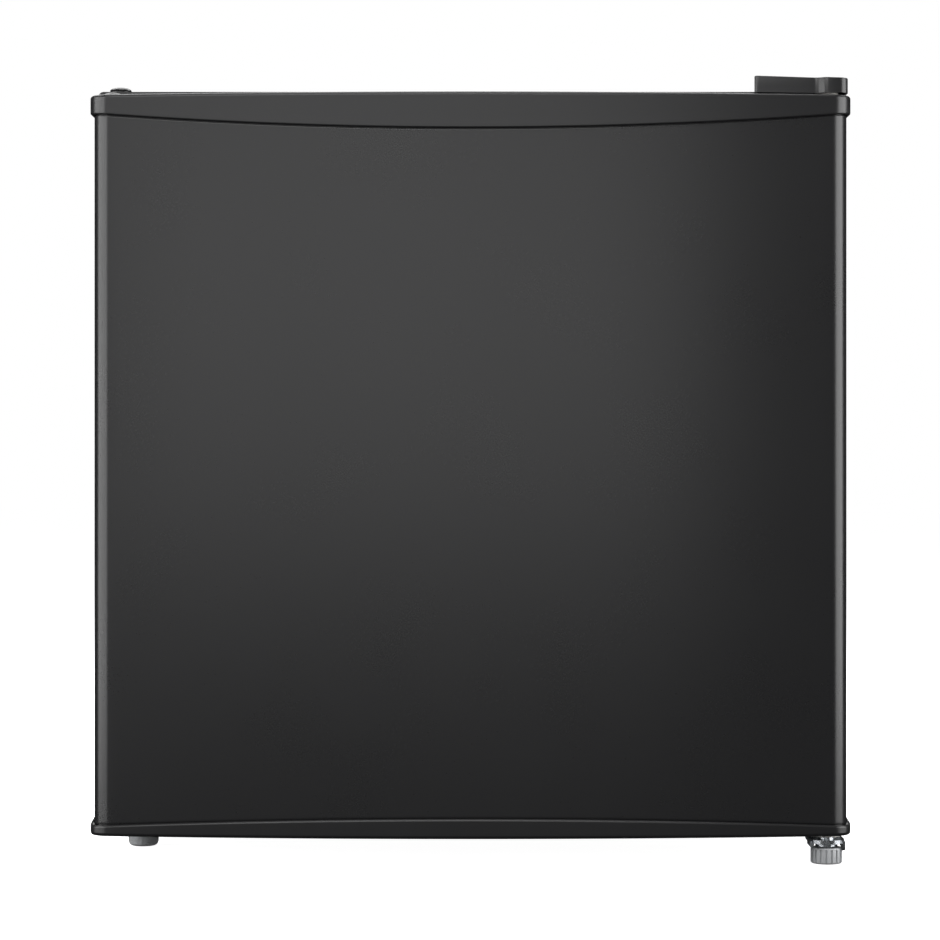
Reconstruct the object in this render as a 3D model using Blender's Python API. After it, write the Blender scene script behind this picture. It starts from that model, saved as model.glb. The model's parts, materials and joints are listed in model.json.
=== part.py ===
"""Table-top mini fridge: cabinet, insulated door, freezer compartment and cooling circuit.

Metres, +Z up. The origin is on the floor, under the middle of the object. The door faces -Y
and swings on the +X side.
"""

import math

import bmesh
import bpy
from mathutils import Matrix, Vector

MM = 0.001
GAP = 0.3 * MM  # between pieces that touch
RUN_CLEARANCE = 0.8 * MM  # beside pieces that slide or swing

# Overall
WIDTH = 472 * MM  # over the door's end caps
DEPTH = 450 * MM  # door crown to the condenser spacers
CABINET_HEIGHT = 462.5 * MM
FLOOR_GAP = 22 * MM  # floor to the underside of the cabinet

# Cabinet
CABINET_SIDE_INSET = 0.5 * MM  # cabinet side inboard of the caps' ends
SHEET = 0.8 * MM
PAN_SHEET = 1.2 * MM
SHELL_CORNER = 3 * MM
FRONT_FLANGE = 30 * MM
SIDE_WALL = 39.5 * MM  # outside of the shell to the inside of the liner
CEILING_WALL = 39.5 * MM
FLOOR_WALL = 40 * MM
BACK_WALL = 42 * MM
LINER_SHEET = 1.5 * MM
LINER_CORNER = 12 * MM
PLINTH_HEIGHT = 32 * MM
CONDENSER_REACH = 25 * MM  # rear panel to the back of the spacers

# Compressor bay
BAY_DEPTH = 140 * MM
BAY_HEIGHT = 153 * MM

# Door
DOOR_THICKNESS = 50 * MM  # at the crown of the bow
DOOR_BOW = 14 * MM
DOOR_CORNER = 11 * MM
DOOR_TOP_DROP = 7.5 * MM  # door top below the cabinet top
DOOR_UNDERHANG = 3.2 * MM  # door bottom below the cabinet bottom
CAP_SIDE_PROUD = 2.5 * MM
CAP_FRONT_PROUD = 1.25 * MM
CAP_PLATE = 2.5 * MM
CAP_EDGE = 1.2 * MM
TOP_CAP_END, TOP_CAP_MIDDLE = 11.7 * MM, 22.6 * MM
BOTTOM_CAP_END, BOTTOM_CAP_MIDDLE = 6.2 * MM, 12.3 * MM
SEAL_SPACE = 12 * MM  # back of the door to the front of the cabinet
SEAL_WIDTH = 14 * MM
SEAL_INSET = 16 * MM  # seal's outer edge inboard of the cap's end
DOOR_LINER_SHEET = 1.6 * MM
DYKE_CLEARANCE = 6 * MM  # cabinet liner to the door's raised rim
DYKE_HEIGHT = 33 * MM
DYKE_WIDTH = 12 * MM
RECESS_RISE = 5 * MM
RACK_WALL = 2.2 * MM
RACK_DEPTH = 68 * MM
RACK_HEIGHT = 60 * MM

# Hinge axis
HINGE_INSET = 14 * MM  # pin inboard of the cap's end
HINGE_SETBACK = 34 * MM  # pin behind the crown of the bow
HINGE_PLATE = 2 * MM
HINGE_PLATE_LIFT = 0.3 * MM
TOP_PIN_RADIUS = 3 * MM
BUSH_RADIUS = 5.5 * MM
PLUG_RADIUS = 6.9 * MM
PLUG_STEM = 5 * MM
CABINET_PLUG_Y_SETBACK = 13 * MM

# Feet and lower hinge
FOOT_RADIUS = 9.9 * MM
FOOT_HEIGHT = 10 * MM
STUD_RADIUS = 3 * MM
LOWER_PIN_RADIUS = 5 * MM
BRACKET_PLATE = 2.3 * MM
BRACKET_Z = 12.8 * MM
BRACKET_WIDTH = 22 * MM
LOWER_PIN_TOP = 32 * MM
BUSH_FLANGE = 2 * MM  # under the door, round the lower pin
LEFT_FOOT_SETBACK = 58 * MM  # behind the cabinet's front

# Inside
FREEZER_SETBACK = 103 * MM  # cabinet front to the freezer frame
FREEZER_HALF_WIDTH = 150 * MM
FREEZER_HEIGHT = 88 * MM
FREEZER_DROP = 15 * MM  # under the ceiling
EVAPORATOR_SHEET = 1.8 * MM
FLAP_CLEAR_TOP = 7 * MM  # pivot below the top of the opening
TRAY_HEIGHT = 16 * MM
SHELF_LIFT = 19.6 * MM  # glass above the step over the compressor bay
GLASS = 4 * MM
RAIL_WIDTH = 9 * MM
KNOB_RADIUS = 14 * MM

# Cooling circuit
COMPRESSOR_X = 60 * MM
COMPRESSOR_SETBACK = 66 * MM  # in front of the cabinet back
COMPRESSOR_RADIUS = 54 * MM
TUBE_RADIUS = 2.5 * MM
COIL_PITCH = 26 * MM
SUCTION_RADIUS = 3 * MM
CAPILLARY_RADIUS = 1 * MM

# Derived places
HALF_WIDTH = WIDTH / 2
SHELL_HALF = HALF_WIDTH - CABINET_SIDE_INSET
SHELL_INNER = SHELL_HALF - SHEET - GAP
DOOR_FRONT = -DEPTH / 2
DOOR_BACK = DOOR_FRONT + DOOR_THICKNESS
CABINET_FRONT = DOOR_BACK + SEAL_SPACE
CABINET_BACK = DEPTH / 2 - CONDENSER_REACH
CABINET_BOTTOM = FLOOR_GAP
CABINET_TOP = FLOOR_GAP + CABINET_HEIGHT
DOOR_BOTTOM = CABINET_BOTTOM - DOOR_UNDERHANG
DOOR_TOP = CABINET_TOP - DOOR_TOP_DROP
SKIN_HALF = HALF_WIDTH - CAP_SIDE_PROUD
SKIN_FRONT = DOOR_FRONT + CAP_FRONT_PROUD
BAY_FRONT = CABINET_BACK - BAY_DEPTH
BAY_TOP = CABINET_BOTTOM + BAY_HEIGHT
LINER_HALF = SHELL_HALF - SIDE_WALL
LINER_FLOOR = CABINET_BOTTOM + FLOOR_WALL
LINER_CEILING = CABINET_TOP - CEILING_WALL
LINER_BACK = CABINET_BACK - BACK_WALL
STEP_TOP = BAY_TOP + FLOOR_WALL
STEP_FRONT = BAY_FRONT - FLOOR_WALL
HINGE_X = HALF_WIDTH - HINGE_INSET
HINGE_Y = DOOR_FRONT + HINGE_SETBACK
FLANGE_X = SHELL_HALF - FRONT_FLANGE - GAP
FLANGE_TOP = CABINET_TOP - FRONT_FLANGE - GAP
FLANGE_BOTTOM = CABINET_BOTTOM + PLINTH_HEIGHT + GAP
FREEZER_FRONT = CABINET_FRONT + FREEZER_SETBACK
FREEZER_TOP = LINER_CEILING - FREEZER_DROP
FREEZER_BOTTOM = FREEZER_TOP - FREEZER_HEIGHT
FREEZER_FRAME_BACK = FREEZER_FRONT + 14 * MM
EVAPORATOR_BACK = LINER_BACK - 8 * MM
TRAY_TOP = FREEZER_BOTTOM - 4.5 * MM
SHELF_Z = STEP_TOP + SHELF_LIFT
COMPRESSOR_Y = CABINET_BACK - COMPRESSOR_SETBACK
COIL_Y = DEPTH / 2 - 5.5 * MM
COIL_HALF = SHELL_HALF - 50.5 * MM
COIL_TOP = CABINET_TOP - 54.5 * MM
PIPE_Y = CABINET_BACK + 8 * MM
PIPE_HOLE = (-19.5 * MM, CABINET_TOP - 84.5 * MM)
LEFT_FOOT = (-(HALF_WIDTH - 22.5 * MM), CABINET_FRONT + LEFT_FOOT_SETBACK)
DOOR_PLUG = (-HINGE_X - 1 * MM, HINGE_Y)
RIGHT_STUD_TOP = DOOR_BOTTOM - BUSH_FLANGE - RUN_CLEARANCE
CABINET_PLUG = (-HINGE_X - 1 * MM, CABINET_FRONT + CABINET_PLUG_Y_SETBACK)


def linear(value):
    """One sRGB channel, 0 to 1, as linear light."""
    return value / 12.92 if value <= 0.04045 else ((value + 0.055) / 1.055) ** 2.4


def make_material(name, hex_colour, roughness, metallic=0.0):
    """A Principled material with one colour."""
    material = bpy.data.materials.new(name)
    material.use_nodes = True
    shader = material.node_tree.nodes["Principled BSDF"]
    channels = [linear(int(hex_colour[i : i + 2], 16) / 255) for i in (0, 2, 4)]
    shader.inputs["Base Color"].default_value = (*channels, 1)
    shader.inputs["Roughness"].default_value = roughness
    shader.inputs["Metallic"].default_value = metallic
    material.diffuse_color = (*channels, 1)
    return material


def add_piece(name, shape, material, origin=(0, 0, 0), parent=None):
    """Make a bmesh, drawn in world coordinates, an object whose origin is at the given point."""
    bmesh.ops.transform(shape, matrix=Matrix.Translation(-Vector(origin)), verts=shape.verts)
    bmesh.ops.recalc_face_normals(shape, faces=shape.faces)
    mesh = bpy.data.meshes.new(name)
    shape.to_mesh(mesh)
    shape.free()
    mesh.shade_smooth()
    mesh.set_sharp_from_angle(angle=math.radians(35))
    piece = bpy.data.objects.new(name, mesh)
    bpy.context.scene.collection.objects.link(piece)
    if material:
        mesh.materials.append(material)
    piece.location = origin
    if parent:
        piece.parent = parent
        piece.location = Vector(origin) - parent.location
    return piece


def make_cutter(name, shape):
    """A helper body for a Boolean."""
    piece = add_piece(name, shape, None)
    piece.hide_render = True
    piece.display_type = "WIRE"
    return piece


def combine(piece, operation, helpers):
    """Cut helpers from a piece, or join them to it."""
    for helper in helpers:
        modifier = piece.modifiers.new(helper.name, "BOOLEAN")
        modifier.operation = operation
        modifier.object = helper


def block_shape(x, y, z, bevel=0.0, segments=2):
    """A box between three pairs of coordinates, with all of its edges rounded."""
    shape = bmesh.new()
    size = Vector((x[1] - x[0], y[1] - y[0], z[1] - z[0]))
    middle = Vector((sum(x), sum(y), sum(z))) / 2
    bmesh.ops.create_cube(shape, size=1, matrix=Matrix.Translation(middle) @ Matrix.Diagonal((*size, 1)))
    if bevel:
        bmesh.ops.bevel(
            shape, geom=shape.edges[:], offset=bevel, segments=segments, profile=0.5, affect="EDGES"
        )
    return shape


def extruded_shape(outline, axis, start, end):
    """A prism: outline points in the plane across the axis, in the order of the other two axes."""
    place = {
        "x": lambda a, b: (start, a, b),
        "y": lambda a, b: (a, start, b),
        "z": lambda a, b: (a, b, start),
    }[axis]
    shape = bmesh.new()
    face = shape.faces.new([shape.verts.new(place(a, b)) for a, b in outline])
    copied = bmesh.ops.extrude_face_region(shape, geom=[face])["geom"]
    travel = Vector([end - start if name == axis else 0.0 for name in "xyz"])
    moved = [item for item in copied if isinstance(item, bmesh.types.BMVert)]
    bmesh.ops.translate(shape, verts=moved, vec=travel)
    return shape


def turned_shape(profile, centre, axis="z", sides=24, closed=False):
    """A profile of (radius, height) points turned about an axis through the centre."""
    shape = bmesh.new()
    verts = [shape.verts.new((radius, 0, height)) for radius, height in profile]
    edges = [shape.edges.new(pair) for pair in zip(verts, verts[1:])]
    if closed:
        edges.append(shape.edges.new((verts[-1], verts[0])))
    bmesh.ops.spin(
        shape, geom=verts + edges, cent=(0, 0, 0), axis=(0, 0, 1), angle=2 * math.pi, steps=sides
    )
    bmesh.ops.remove_doubles(shape, verts=shape.verts, dist=0.00001)
    turn = {
        "z": Matrix.Identity(4),
        "y": Matrix.Rotation(-math.pi / 2, 4, "X"),
        "x": Matrix.Rotation(math.pi / 2, 4, "Y"),
    }[axis]
    bmesh.ops.transform(shape, matrix=Matrix.Translation(centre) @ turn, verts=shape.verts)
    return shape


def rod_shape(radius, start, end, centre, axis="z", sides=20):
    """A plain round rod along an axis, from start to end, measured from the centre."""
    profile = [(0, start), (radius, start), (radius, end), (0, end)]
    return turned_shape(profile, centre, axis, sides)


def lofted_shape(rings, wrap=False):
    """A closed body through rings of points, capped at its ends or joined end to end."""
    shape = bmesh.new()
    loops = [[shape.verts.new(point) for point in ring] for ring in rings]
    pairs = list(zip(loops, loops[1:]))
    if wrap:
        pairs.append((loops[-1], loops[0]))
    for first, second in pairs:
        count = len(first)
        for i in range(count):
            j = (i + 1) % count
            shape.faces.new((first[i], first[j], second[j], second[i]))
    if not wrap:
        shape.faces.new(loops[0])
        shape.faces.new(loops[-1])
    return shape


def round_ring(x_half, z_low, z_high, y, radius, steps=3):
    """A rectangle with round corners in the plane at y, centred across x."""
    points = []
    corners = [(x_half, z_low, -90), (x_half, z_high, 0), (-x_half, z_high, 90), (-x_half, z_low, 180)]
    for x, z, first in corners:
        centre_x = x - math.copysign(radius, x)
        centre_z = z + radius if z == z_low else z - radius
        for step in range(steps + 1):
            angle = math.radians(first + 90 * step / steps)
            points.append((centre_x + radius * math.cos(angle), y, centre_z + radius * math.sin(angle)))
    return points


def filleted(points, radii, steps=4):
    """A closed outline with each corner rounded to its own radius, 0 for a sharp one."""
    result = []
    for i, (point, radius) in enumerate(zip(points, radii)):
        corner = Vector(point)
        if not radius:
            result.append(tuple(corner))
            continue
        before = (Vector(points[i - 1]) - corner).normalized()
        after = (Vector(points[(i + 1) % len(points)]) - corner).normalized()
        half_angle = before.angle(after) / 2
        centre = corner + (before + after).normalized() * radius / math.sin(half_angle)
        start = corner + before * radius / math.tan(half_angle) - centre
        end = corner + after * radius / math.tan(half_angle) - centre
        first = math.atan2(start[1], start[0])
        sweep = (math.atan2(end[1], end[0]) - first + math.pi) % (2 * math.pi) - math.pi
        for step in range(steps + 1):
            angle = first + sweep * step / steps
            result.append((centre[0] + radius * math.cos(angle), centre[1] + radius * math.sin(angle)))
    return result


def bent_route(points, radius, steps=4):
    """A route through the points with its bends rounded."""
    route = [Vector(points[0])]
    for before, corner, after in zip(points, points[1:], points[2:]):
        corner = Vector(corner)
        back = (Vector(before) - corner).normalized()
        ahead = (Vector(after) - corner).normalized()
        half_angle = back.angle(ahead) / 2
        centre = corner + (back + ahead).normalized() * radius / math.sin(half_angle)
        start = corner + back * radius / math.tan(half_angle) - centre
        end = corner + ahead * radius / math.tan(half_angle) - centre
        for step in range(steps + 1):
            route.append(centre + radius * start.slerp(end, step / steps))
    route.append(Vector(points[-1]))
    return route


def add_tube(name, route, radius, material, resolution=2):
    """A round bar along a route, as a curve with a bevel and closed ends."""
    curve = bpy.data.curves.new(name, "CURVE")
    curve.dimensions = "3D"
    curve.bevel_depth = radius
    curve.bevel_resolution = resolution
    curve.use_fill_caps = True
    spline = curve.splines.new("POLY")
    spline.points.add(len(route) - 1)
    for place, point in zip(spline.points, route):
        place.co = (*point, 1)
    curve.materials.append(material)
    piece = bpy.data.objects.new(name, curve)
    bpy.context.scene.collection.objects.link(piece)
    return piece


def add_axis(name, place):
    """An empty that the pieces of a moving body hang on."""
    empty = bpy.data.objects.new(name, None)
    empty.location = place
    bpy.context.scene.collection.objects.link(empty)
    return empty


def bowed_outline(half, front, corner, back, bow_steps=32, corner_steps=5):
    """Plan outline of the door, from its +X rear corner round the bow to its -X rear corner."""
    chord = half - corner
    bow_radius = (chord**2 + DOOR_BOW**2) / (2 * DOOR_BOW)
    bow_centre = front + bow_radius
    corner_y = bow_centre - math.sqrt((bow_radius - corner) ** 2 - chord**2)
    tangent = math.atan2(corner_y - bow_centre, chord)
    points = [(half, back)]
    for step in range(corner_steps + 1):
        angle = tangent * step / corner_steps
        points.append((chord + corner * math.cos(angle), corner_y + corner * math.sin(angle)))
    span = -math.pi - 2 * tangent
    for step in range(1, bow_steps):
        angle = tangent + span * step / bow_steps
        points.append((bow_radius * math.cos(angle), bow_centre + bow_radius * math.sin(angle)))
    for step in range(corner_steps + 1):
        angle = tangent * (corner_steps - step) / corner_steps
        points.append((-chord - corner * math.cos(angle), corner_y + corner * math.sin(angle)))
    points.append((-half, back))
    return points


def cap_height(x, end, middle):
    """Height of a door cap at x: its edge is a shallow arc from end to end."""
    return end + (middle - end) * (1 - (x / HALF_WIDTH) ** 2)


def top_seam(x):
    """Height of the lower edge of the top cap at x."""
    return DOOR_TOP - cap_height(x, TOP_CAP_END, TOP_CAP_MIDDLE)


def bottom_seam(x):
    """Height of the upper edge of the bottom cap at x."""
    return DOOR_BOTTOM + cap_height(x, BOTTOM_CAP_END, BOTTOM_CAP_MIDDLE)


def cap_shape(flat, seam, inward):
    """A door cap: a plate with a skirt round its front and sides. inward is -1 on the top one."""
    shape = bmesh.new()
    outer = bowed_outline(HALF_WIDTH, DOOR_FRONT, DOOR_CORNER, DOOR_BACK)
    inner = bowed_outline(SKIN_HALF - SHEET, SKIN_FRONT + SHEET, DOOR_CORNER - SHEET, DOOR_BACK)
    rows = []
    for step in range(3):
        angle = math.pi / 2 * step / 2
        inset = CAP_EDGE * (1 - math.sin(angle))
        drop = CAP_EDGE * (1 - math.cos(angle))
        ring = bowed_outline(HALF_WIDTH - inset, DOOR_FRONT + inset, DOOR_CORNER - inset, DOOR_BACK)
        rows.append([shape.verts.new((x, y, flat + inward * drop)) for x, y in ring])
    rows.append([shape.verts.new((x, y, seam(x))) for x, y in outer])
    rows.append([shape.verts.new((x, y, seam(x))) for x, y in inner])
    rows.append([shape.verts.new((x, y, flat + inward * CAP_PLATE)) for x, y in inner])
    for first, second in zip(rows, rows[1:]):
        for i in range(len(first) - 1):
            shape.faces.new((first[i], first[i + 1], second[i + 1], second[i]))
    shape.faces.new(rows[0])
    shape.faces.new(rows[-1])
    shape.faces.new([row[0] for row in rows] + [row[-1] for row in reversed(rows)])
    return shape


def skin_shape():
    """The door's bent sheet, its top and bottom edges following the caps."""
    shape = bmesh.new()
    outer = bowed_outline(SKIN_HALF, SKIN_FRONT, DOOR_CORNER, DOOR_BACK)
    inner = bowed_outline(SKIN_HALF - SHEET, SKIN_FRONT + SHEET, DOOR_CORNER - SHEET, DOOR_BACK)
    rows = [
        [shape.verts.new((x, y, bottom_seam(x) + GAP)) for x, y in outer],
        [shape.verts.new((x, y, top_seam(x) - GAP)) for x, y in outer],
        [shape.verts.new((x, y, top_seam(x) - GAP)) for x, y in inner],
        [shape.verts.new((x, y, bottom_seam(x) + GAP)) for x, y in inner],
    ]
    for first, second in zip(rows, rows[1:] + rows[:1]):
        for i in range(len(first) - 1):
            shape.faces.new((first[i], first[i + 1], second[i + 1], second[i]))
    shape.faces.new([row[0] for row in rows])
    shape.faces.new([row[-1] for row in rows])
    return shape


def door_liner_rings(offset, flange_half, flange_low, flange_high):
    """Rings of the door liner's surface, from the recess to the flange, set back by offset."""
    low = LINER_FLOOR + DYKE_CLEARANCE
    high = LINER_CEILING - DYKE_CLEARANCE
    half = LINER_HALF - DYKE_CLEARANCE
    draft = 2 * MM

    def ring(inset, y, radius):
        return round_ring(half - inset, low + inset, high - inset, y - offset, radius)

    return [
        ring(DYKE_WIDTH + draft - offset, DOOR_BACK + RECESS_RISE, 6 * MM),
        ring(DYKE_WIDTH - offset, DOOR_BACK + DYKE_HEIGHT, 6 * MM),
        ring(draft + offset, DOOR_BACK + DYKE_HEIGHT, 8 * MM),
        ring(offset, DOOR_BACK, 8 * MM),
        round_ring(flange_half, flange_low, flange_high, DOOR_BACK - offset, 1 * MM),
    ]


def cabinet_liner_rings(offset):
    """Rings of the food compartment's surface, from its front edge to its back, grown by offset."""
    half = LINER_HALF + offset
    ceiling = LINER_CEILING + offset
    floor = LINER_FLOOR - offset
    step = STEP_TOP - offset
    corner = LINER_CORNER + offset
    draft = 4 * MM
    cove = 6 * MM
    return [
        round_ring(half, floor, ceiling, STEP_FRONT + offset, corner),
        round_ring(half, step, ceiling, STEP_FRONT + offset + draft, corner),
        round_ring(half, step, ceiling, LINER_BACK + offset - cove, corner),
        round_ring(half - cove, step + cove, ceiling - cove, LINER_BACK + offset, corner - cove),
    ]


def shell_outline(inset, bottom):
    """Front outline of the cabinet from one foot over the round top corners to the other."""
    half = SHELL_HALF - inset
    top = CABINET_TOP - inset
    radius = SHELL_CORNER - min(inset, SHELL_CORNER - 0.5 * MM)
    steps = 4
    points = [(half, bottom)]
    for side, first in ((1, 0), (-1, 90)):
        for step in range(steps + 1):
            angle = math.radians(first + 90 * step / steps)
            points.append(
                (
                    side * (half - radius) + radius * math.cos(angle),
                    top - radius + radius * math.sin(angle),
                )
            )
    points.append((-half, bottom))
    return points


def build_shell(material):
    """The cabinet's bent outer sheet: two sides, the top and the front flange."""
    shape = bmesh.new()
    back, front = CABINET_BACK, CABINET_FRONT

    def row(inset, y):
        return [shape.verts.new((x, y, z)) for x, z in shell_outline(inset, CABINET_BOTTOM)]

    rows = [
        row(0, back),
        row(0, front),
        row(FRONT_FLANGE, front),
        row(FRONT_FLANGE, front + SHEET),
        row(SHEET, front + SHEET),
        row(SHEET, back),
    ]
    for first, second in zip(rows, rows[1:] + rows[:1]):
        for i in range(len(first) - 1):
            shape.faces.new((first[i], first[i + 1], second[i + 1], second[i]))
    shape.faces.new([line[0] for line in rows])
    shape.faces.new([line[-1] for line in rows])
    shell = add_piece("outer_shell", shape, material)
    plug_hole = rod_shape(PLUG_STEM + GAP, -3 * MM, 3 * MM, (*CABINET_PLUG, CABINET_TOP))
    combine(shell, "DIFFERENCE", [make_cutter("shell_plug_hole", plug_hole)])
    for number, place in enumerate(hinge_screw_places(), 1):
        hole = rod_shape(2.3 * MM, -3 * MM, 3 * MM, (*place, CABINET_TOP))
        combine(shell, "DIFFERENCE", [make_cutter(f"shell_screw_hole_{number}", hole)])


def hinge_screw_places():
    """Plan places of the upper hinge's two screws."""
    return [(HINGE_X - 20 * MM, CABINET_FRONT + 14 * MM), (HINGE_X - 2 * MM, CABINET_FRONT + 28 * MM)]


def build_cabinet(paint, plastic, foam, liner, zinc, rubber):
    """The insulated box and the sheets round it."""
    build_shell(paint)
    pan_top = CABINET_BOTTOM + PAN_SHEET
    body_front = CABINET_FRONT + 1.1 * MM
    pan = add_piece(
        "base_pan",
        block_shape((-SHELL_INNER, SHELL_INNER), (body_front, BAY_FRONT - GAP), (CABINET_BOTTOM, pan_top)),
        paint,
    )
    plinth = block_shape(
        (-FLANGE_X, FLANGE_X),
        (CABINET_FRONT, CABINET_FRONT + PAN_SHEET),
        (CABINET_BOTTOM, CABINET_BOTTOM + PLINTH_HEIGHT),
    )
    combine(pan, "UNION", [make_cutter("plinth", plinth)])
    stud_hole = rod_shape(STUD_RADIUS + GAP, -5 * MM, 5 * MM, (*LEFT_FOOT, pan_top))
    combine(pan, "DIFFERENCE", [make_cutter("pan_stud_hole", stud_hole)])

    bay_sheet = [
        (BAY_FRONT - SHEET, pan_top + GAP),
        (BAY_FRONT, pan_top + GAP),
        (BAY_FRONT, BAY_TOP),
        (CABINET_BACK - SHEET - GAP, BAY_TOP),
        (CABINET_BACK - SHEET - GAP, BAY_TOP + SHEET),
        (BAY_FRONT - SHEET, BAY_TOP + SHEET),
    ]
    add_piece("bay_panel", extruded_shape(bay_sheet, "x", -SHELL_INNER, SHELL_INNER), zinc)

    hole_x, hole_z = PIPE_HOLE
    hole_radius = 10 * MM
    rear = extruded_shape(shell_outline(SHEET + GAP, BAY_TOP), "y", CABINET_BACK - SHEET, CABINET_BACK)
    rear_panel = add_piece("rear_panel", rear, zinc)
    pipe_hole = rod_shape(
        hole_radius, -BACK_WALL - 20 * MM, 10 * MM, (hole_x, CABINET_BACK, hole_z), "y"
    )
    pipe_cutter = make_cutter("pipe_hole", pipe_hole)
    combine(rear_panel, "DIFFERENCE", [pipe_cutter])

    foam_outline = shell_outline(SHEET + GAP, pan_top + GAP)
    foam_front = CABINET_FRONT + LINER_SHEET + GAP
    foam_body = add_piece(
        "insulation_foam",
        extruded_shape(foam_outline, "y", foam_front, CABINET_BACK - SHEET - GAP),
        foam,
    )
    clear = LINER_SHEET + GAP
    cavity_mouth = round_ring(
        LINER_HALF + clear,
        LINER_FLOOR - clear,
        LINER_CEILING + clear,
        CABINET_FRONT - 5 * MM,
        LINER_CORNER + clear,
    )
    cavity = lofted_shape([cavity_mouth, *cabinet_liner_rings(clear)])
    bay = block_shape(
        (-HALF_WIDTH - GAP, HALF_WIDTH + GAP),
        (BAY_FRONT - SHEET - GAP, CABINET_BACK + 5 * MM),
        (0, BAY_TOP + SHEET + GAP),
    )
    plug_pocket = rod_shape(PLUG_STEM + GAP, -9 * MM, 3 * MM, (*CABINET_PLUG, CABINET_TOP))
    foot_pocket = rod_shape(8 * MM, -5 * MM, 24 * MM, (*LEFT_FOOT, pan_top))
    cutters = [
        make_cutter("foam_cavity", cavity),
        make_cutter("foam_bay", bay),
        make_cutter("foam_plug_pocket", plug_pocket),
        make_cutter("foam_foot_pocket", foot_pocket),
        pipe_cutter,
    ]
    for number, place in enumerate(hinge_screw_places(), 1):
        pocket = rod_shape(2.3 * MM, -14 * MM, 3 * MM, (*place, CABINET_TOP))
        cutters.append(make_cutter(f"foam_screw_pocket_{number}", pocket))
    combine(foam_body, "DIFFERENCE", cutters)

    inside = [round_ring(LINER_HALF, LINER_FLOOR, LINER_CEILING, CABINET_FRONT, LINER_CORNER)]
    inside += cabinet_liner_rings(0)
    outside = [
        round_ring(
            LINER_HALF + LINER_SHEET,
            LINER_FLOOR - LINER_SHEET,
            LINER_CEILING + LINER_SHEET,
            CABINET_FRONT + LINER_SHEET,
            LINER_CORNER + LINER_SHEET,
        )
    ]
    outside += cabinet_liner_rings(LINER_SHEET)
    flange = [
        round_ring(FLANGE_X, FLANGE_BOTTOM, FLANGE_TOP, y, 1 * MM)
        for y in (CABINET_FRONT, CABINET_FRONT + LINER_SHEET)
    ]
    liner_shape = lofted_shape([*reversed(inside), *flange, *outside])
    inner_liner = add_piece("inner_liner", liner_shape, liner)
    rails = []
    for side in (-1, 1):
        across = sorted((side * (LINER_HALF - RAIL_WIDTH), side * (LINER_HALF + LINER_SHEET / 2)))
        rail = block_shape(
            across,
            (CABINET_FRONT + 24 * MM, LINER_BACK - 10 * MM),
            (SHELF_Z - GAP - 6 * MM, SHELF_Z - GAP),
        )
        rails.append(make_cutter(f"shelf_rail_{'left' if side < 0 else 'right'}", rail))
    combine(inner_liner, "UNION", rails)
    combine(inner_liner, "DIFFERENCE", [pipe_cutter])

    mount = add_piece(
        "compressor_mount_plate",
        block_shape(
            (-SHELL_INNER, SHELL_INNER), (BAY_FRONT + GAP, CABINET_BACK), (CABINET_BOTTOM, pan_top)
        ),
        zinc,
    )
    upstand = block_shape(
        (-SHELL_INNER, SHELL_INNER),
        (CABINET_BACK - PAN_SHEET, CABINET_BACK),
        (CABINET_BOTTOM, CABINET_BOTTOM + 20 * MM),
    )
    gland_place = (-150 * MM, CABINET_BACK, CABINET_BOTTOM + 11 * MM)
    gland_hole = rod_shape(5.3 * MM, -8 * MM, 8 * MM, gland_place, "y")
    combine(mount, "UNION", [make_cutter("mount_upstand", upstand)])
    combine(mount, "DIFFERENCE", [make_cutter("gland_hole", gland_hole)])
    gland = [(3.5, -7), (5, -7), (5, 0.3), (7.5, 0.3), (7.5, 3), (6, 7), (3.5, 7)]
    gland_profile = [(radius * MM, height * MM) for radius, height in gland]
    add_piece(
        "cord_gland",
        turned_shape(gland_profile, gland_place, "y", 20, closed=True),
        rubber,
    )
    for side, name in ((-1, "rear_foot_left"), (1, "rear_foot_right")):
        profile = [(0, 0), (10, 0), (11, 1), (12, 20), (11, 21.7), (0, 21.7)]
        scaled = [(r * MM, h * MM * FLOOR_GAP / (22 * MM)) for r, h in profile]
        place = (side * (SHELL_HALF - 32 * MM), CABINET_BACK - 32 * MM, 0)
        add_piece(name, turned_shape(scaled, place, sides=24), plastic)


def plug_shape(place, base, rim, height, stem_length):
    """A domed hole plug with a stem, sitting on a face at height base."""
    x, y = place
    profile = [(0, -stem_length), (PLUG_STEM - GAP, -stem_length), (PLUG_STEM, -stem_length + 1 * MM)]
    profile += [(PLUG_STEM, GAP), (PLUG_RADIUS, GAP), (PLUG_RADIUS, GAP + rim)]
    crown = height - rim - GAP
    for step in range(1, 5):
        angle = math.pi / 2 * step / 4
        profile.append((PLUG_RADIUS * math.cos(angle), GAP + rim + crown * math.sin(angle)))
    profile[-1] = (0, profile[-1][1])
    return turned_shape(profile, (x, y, base), sides=20)


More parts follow.
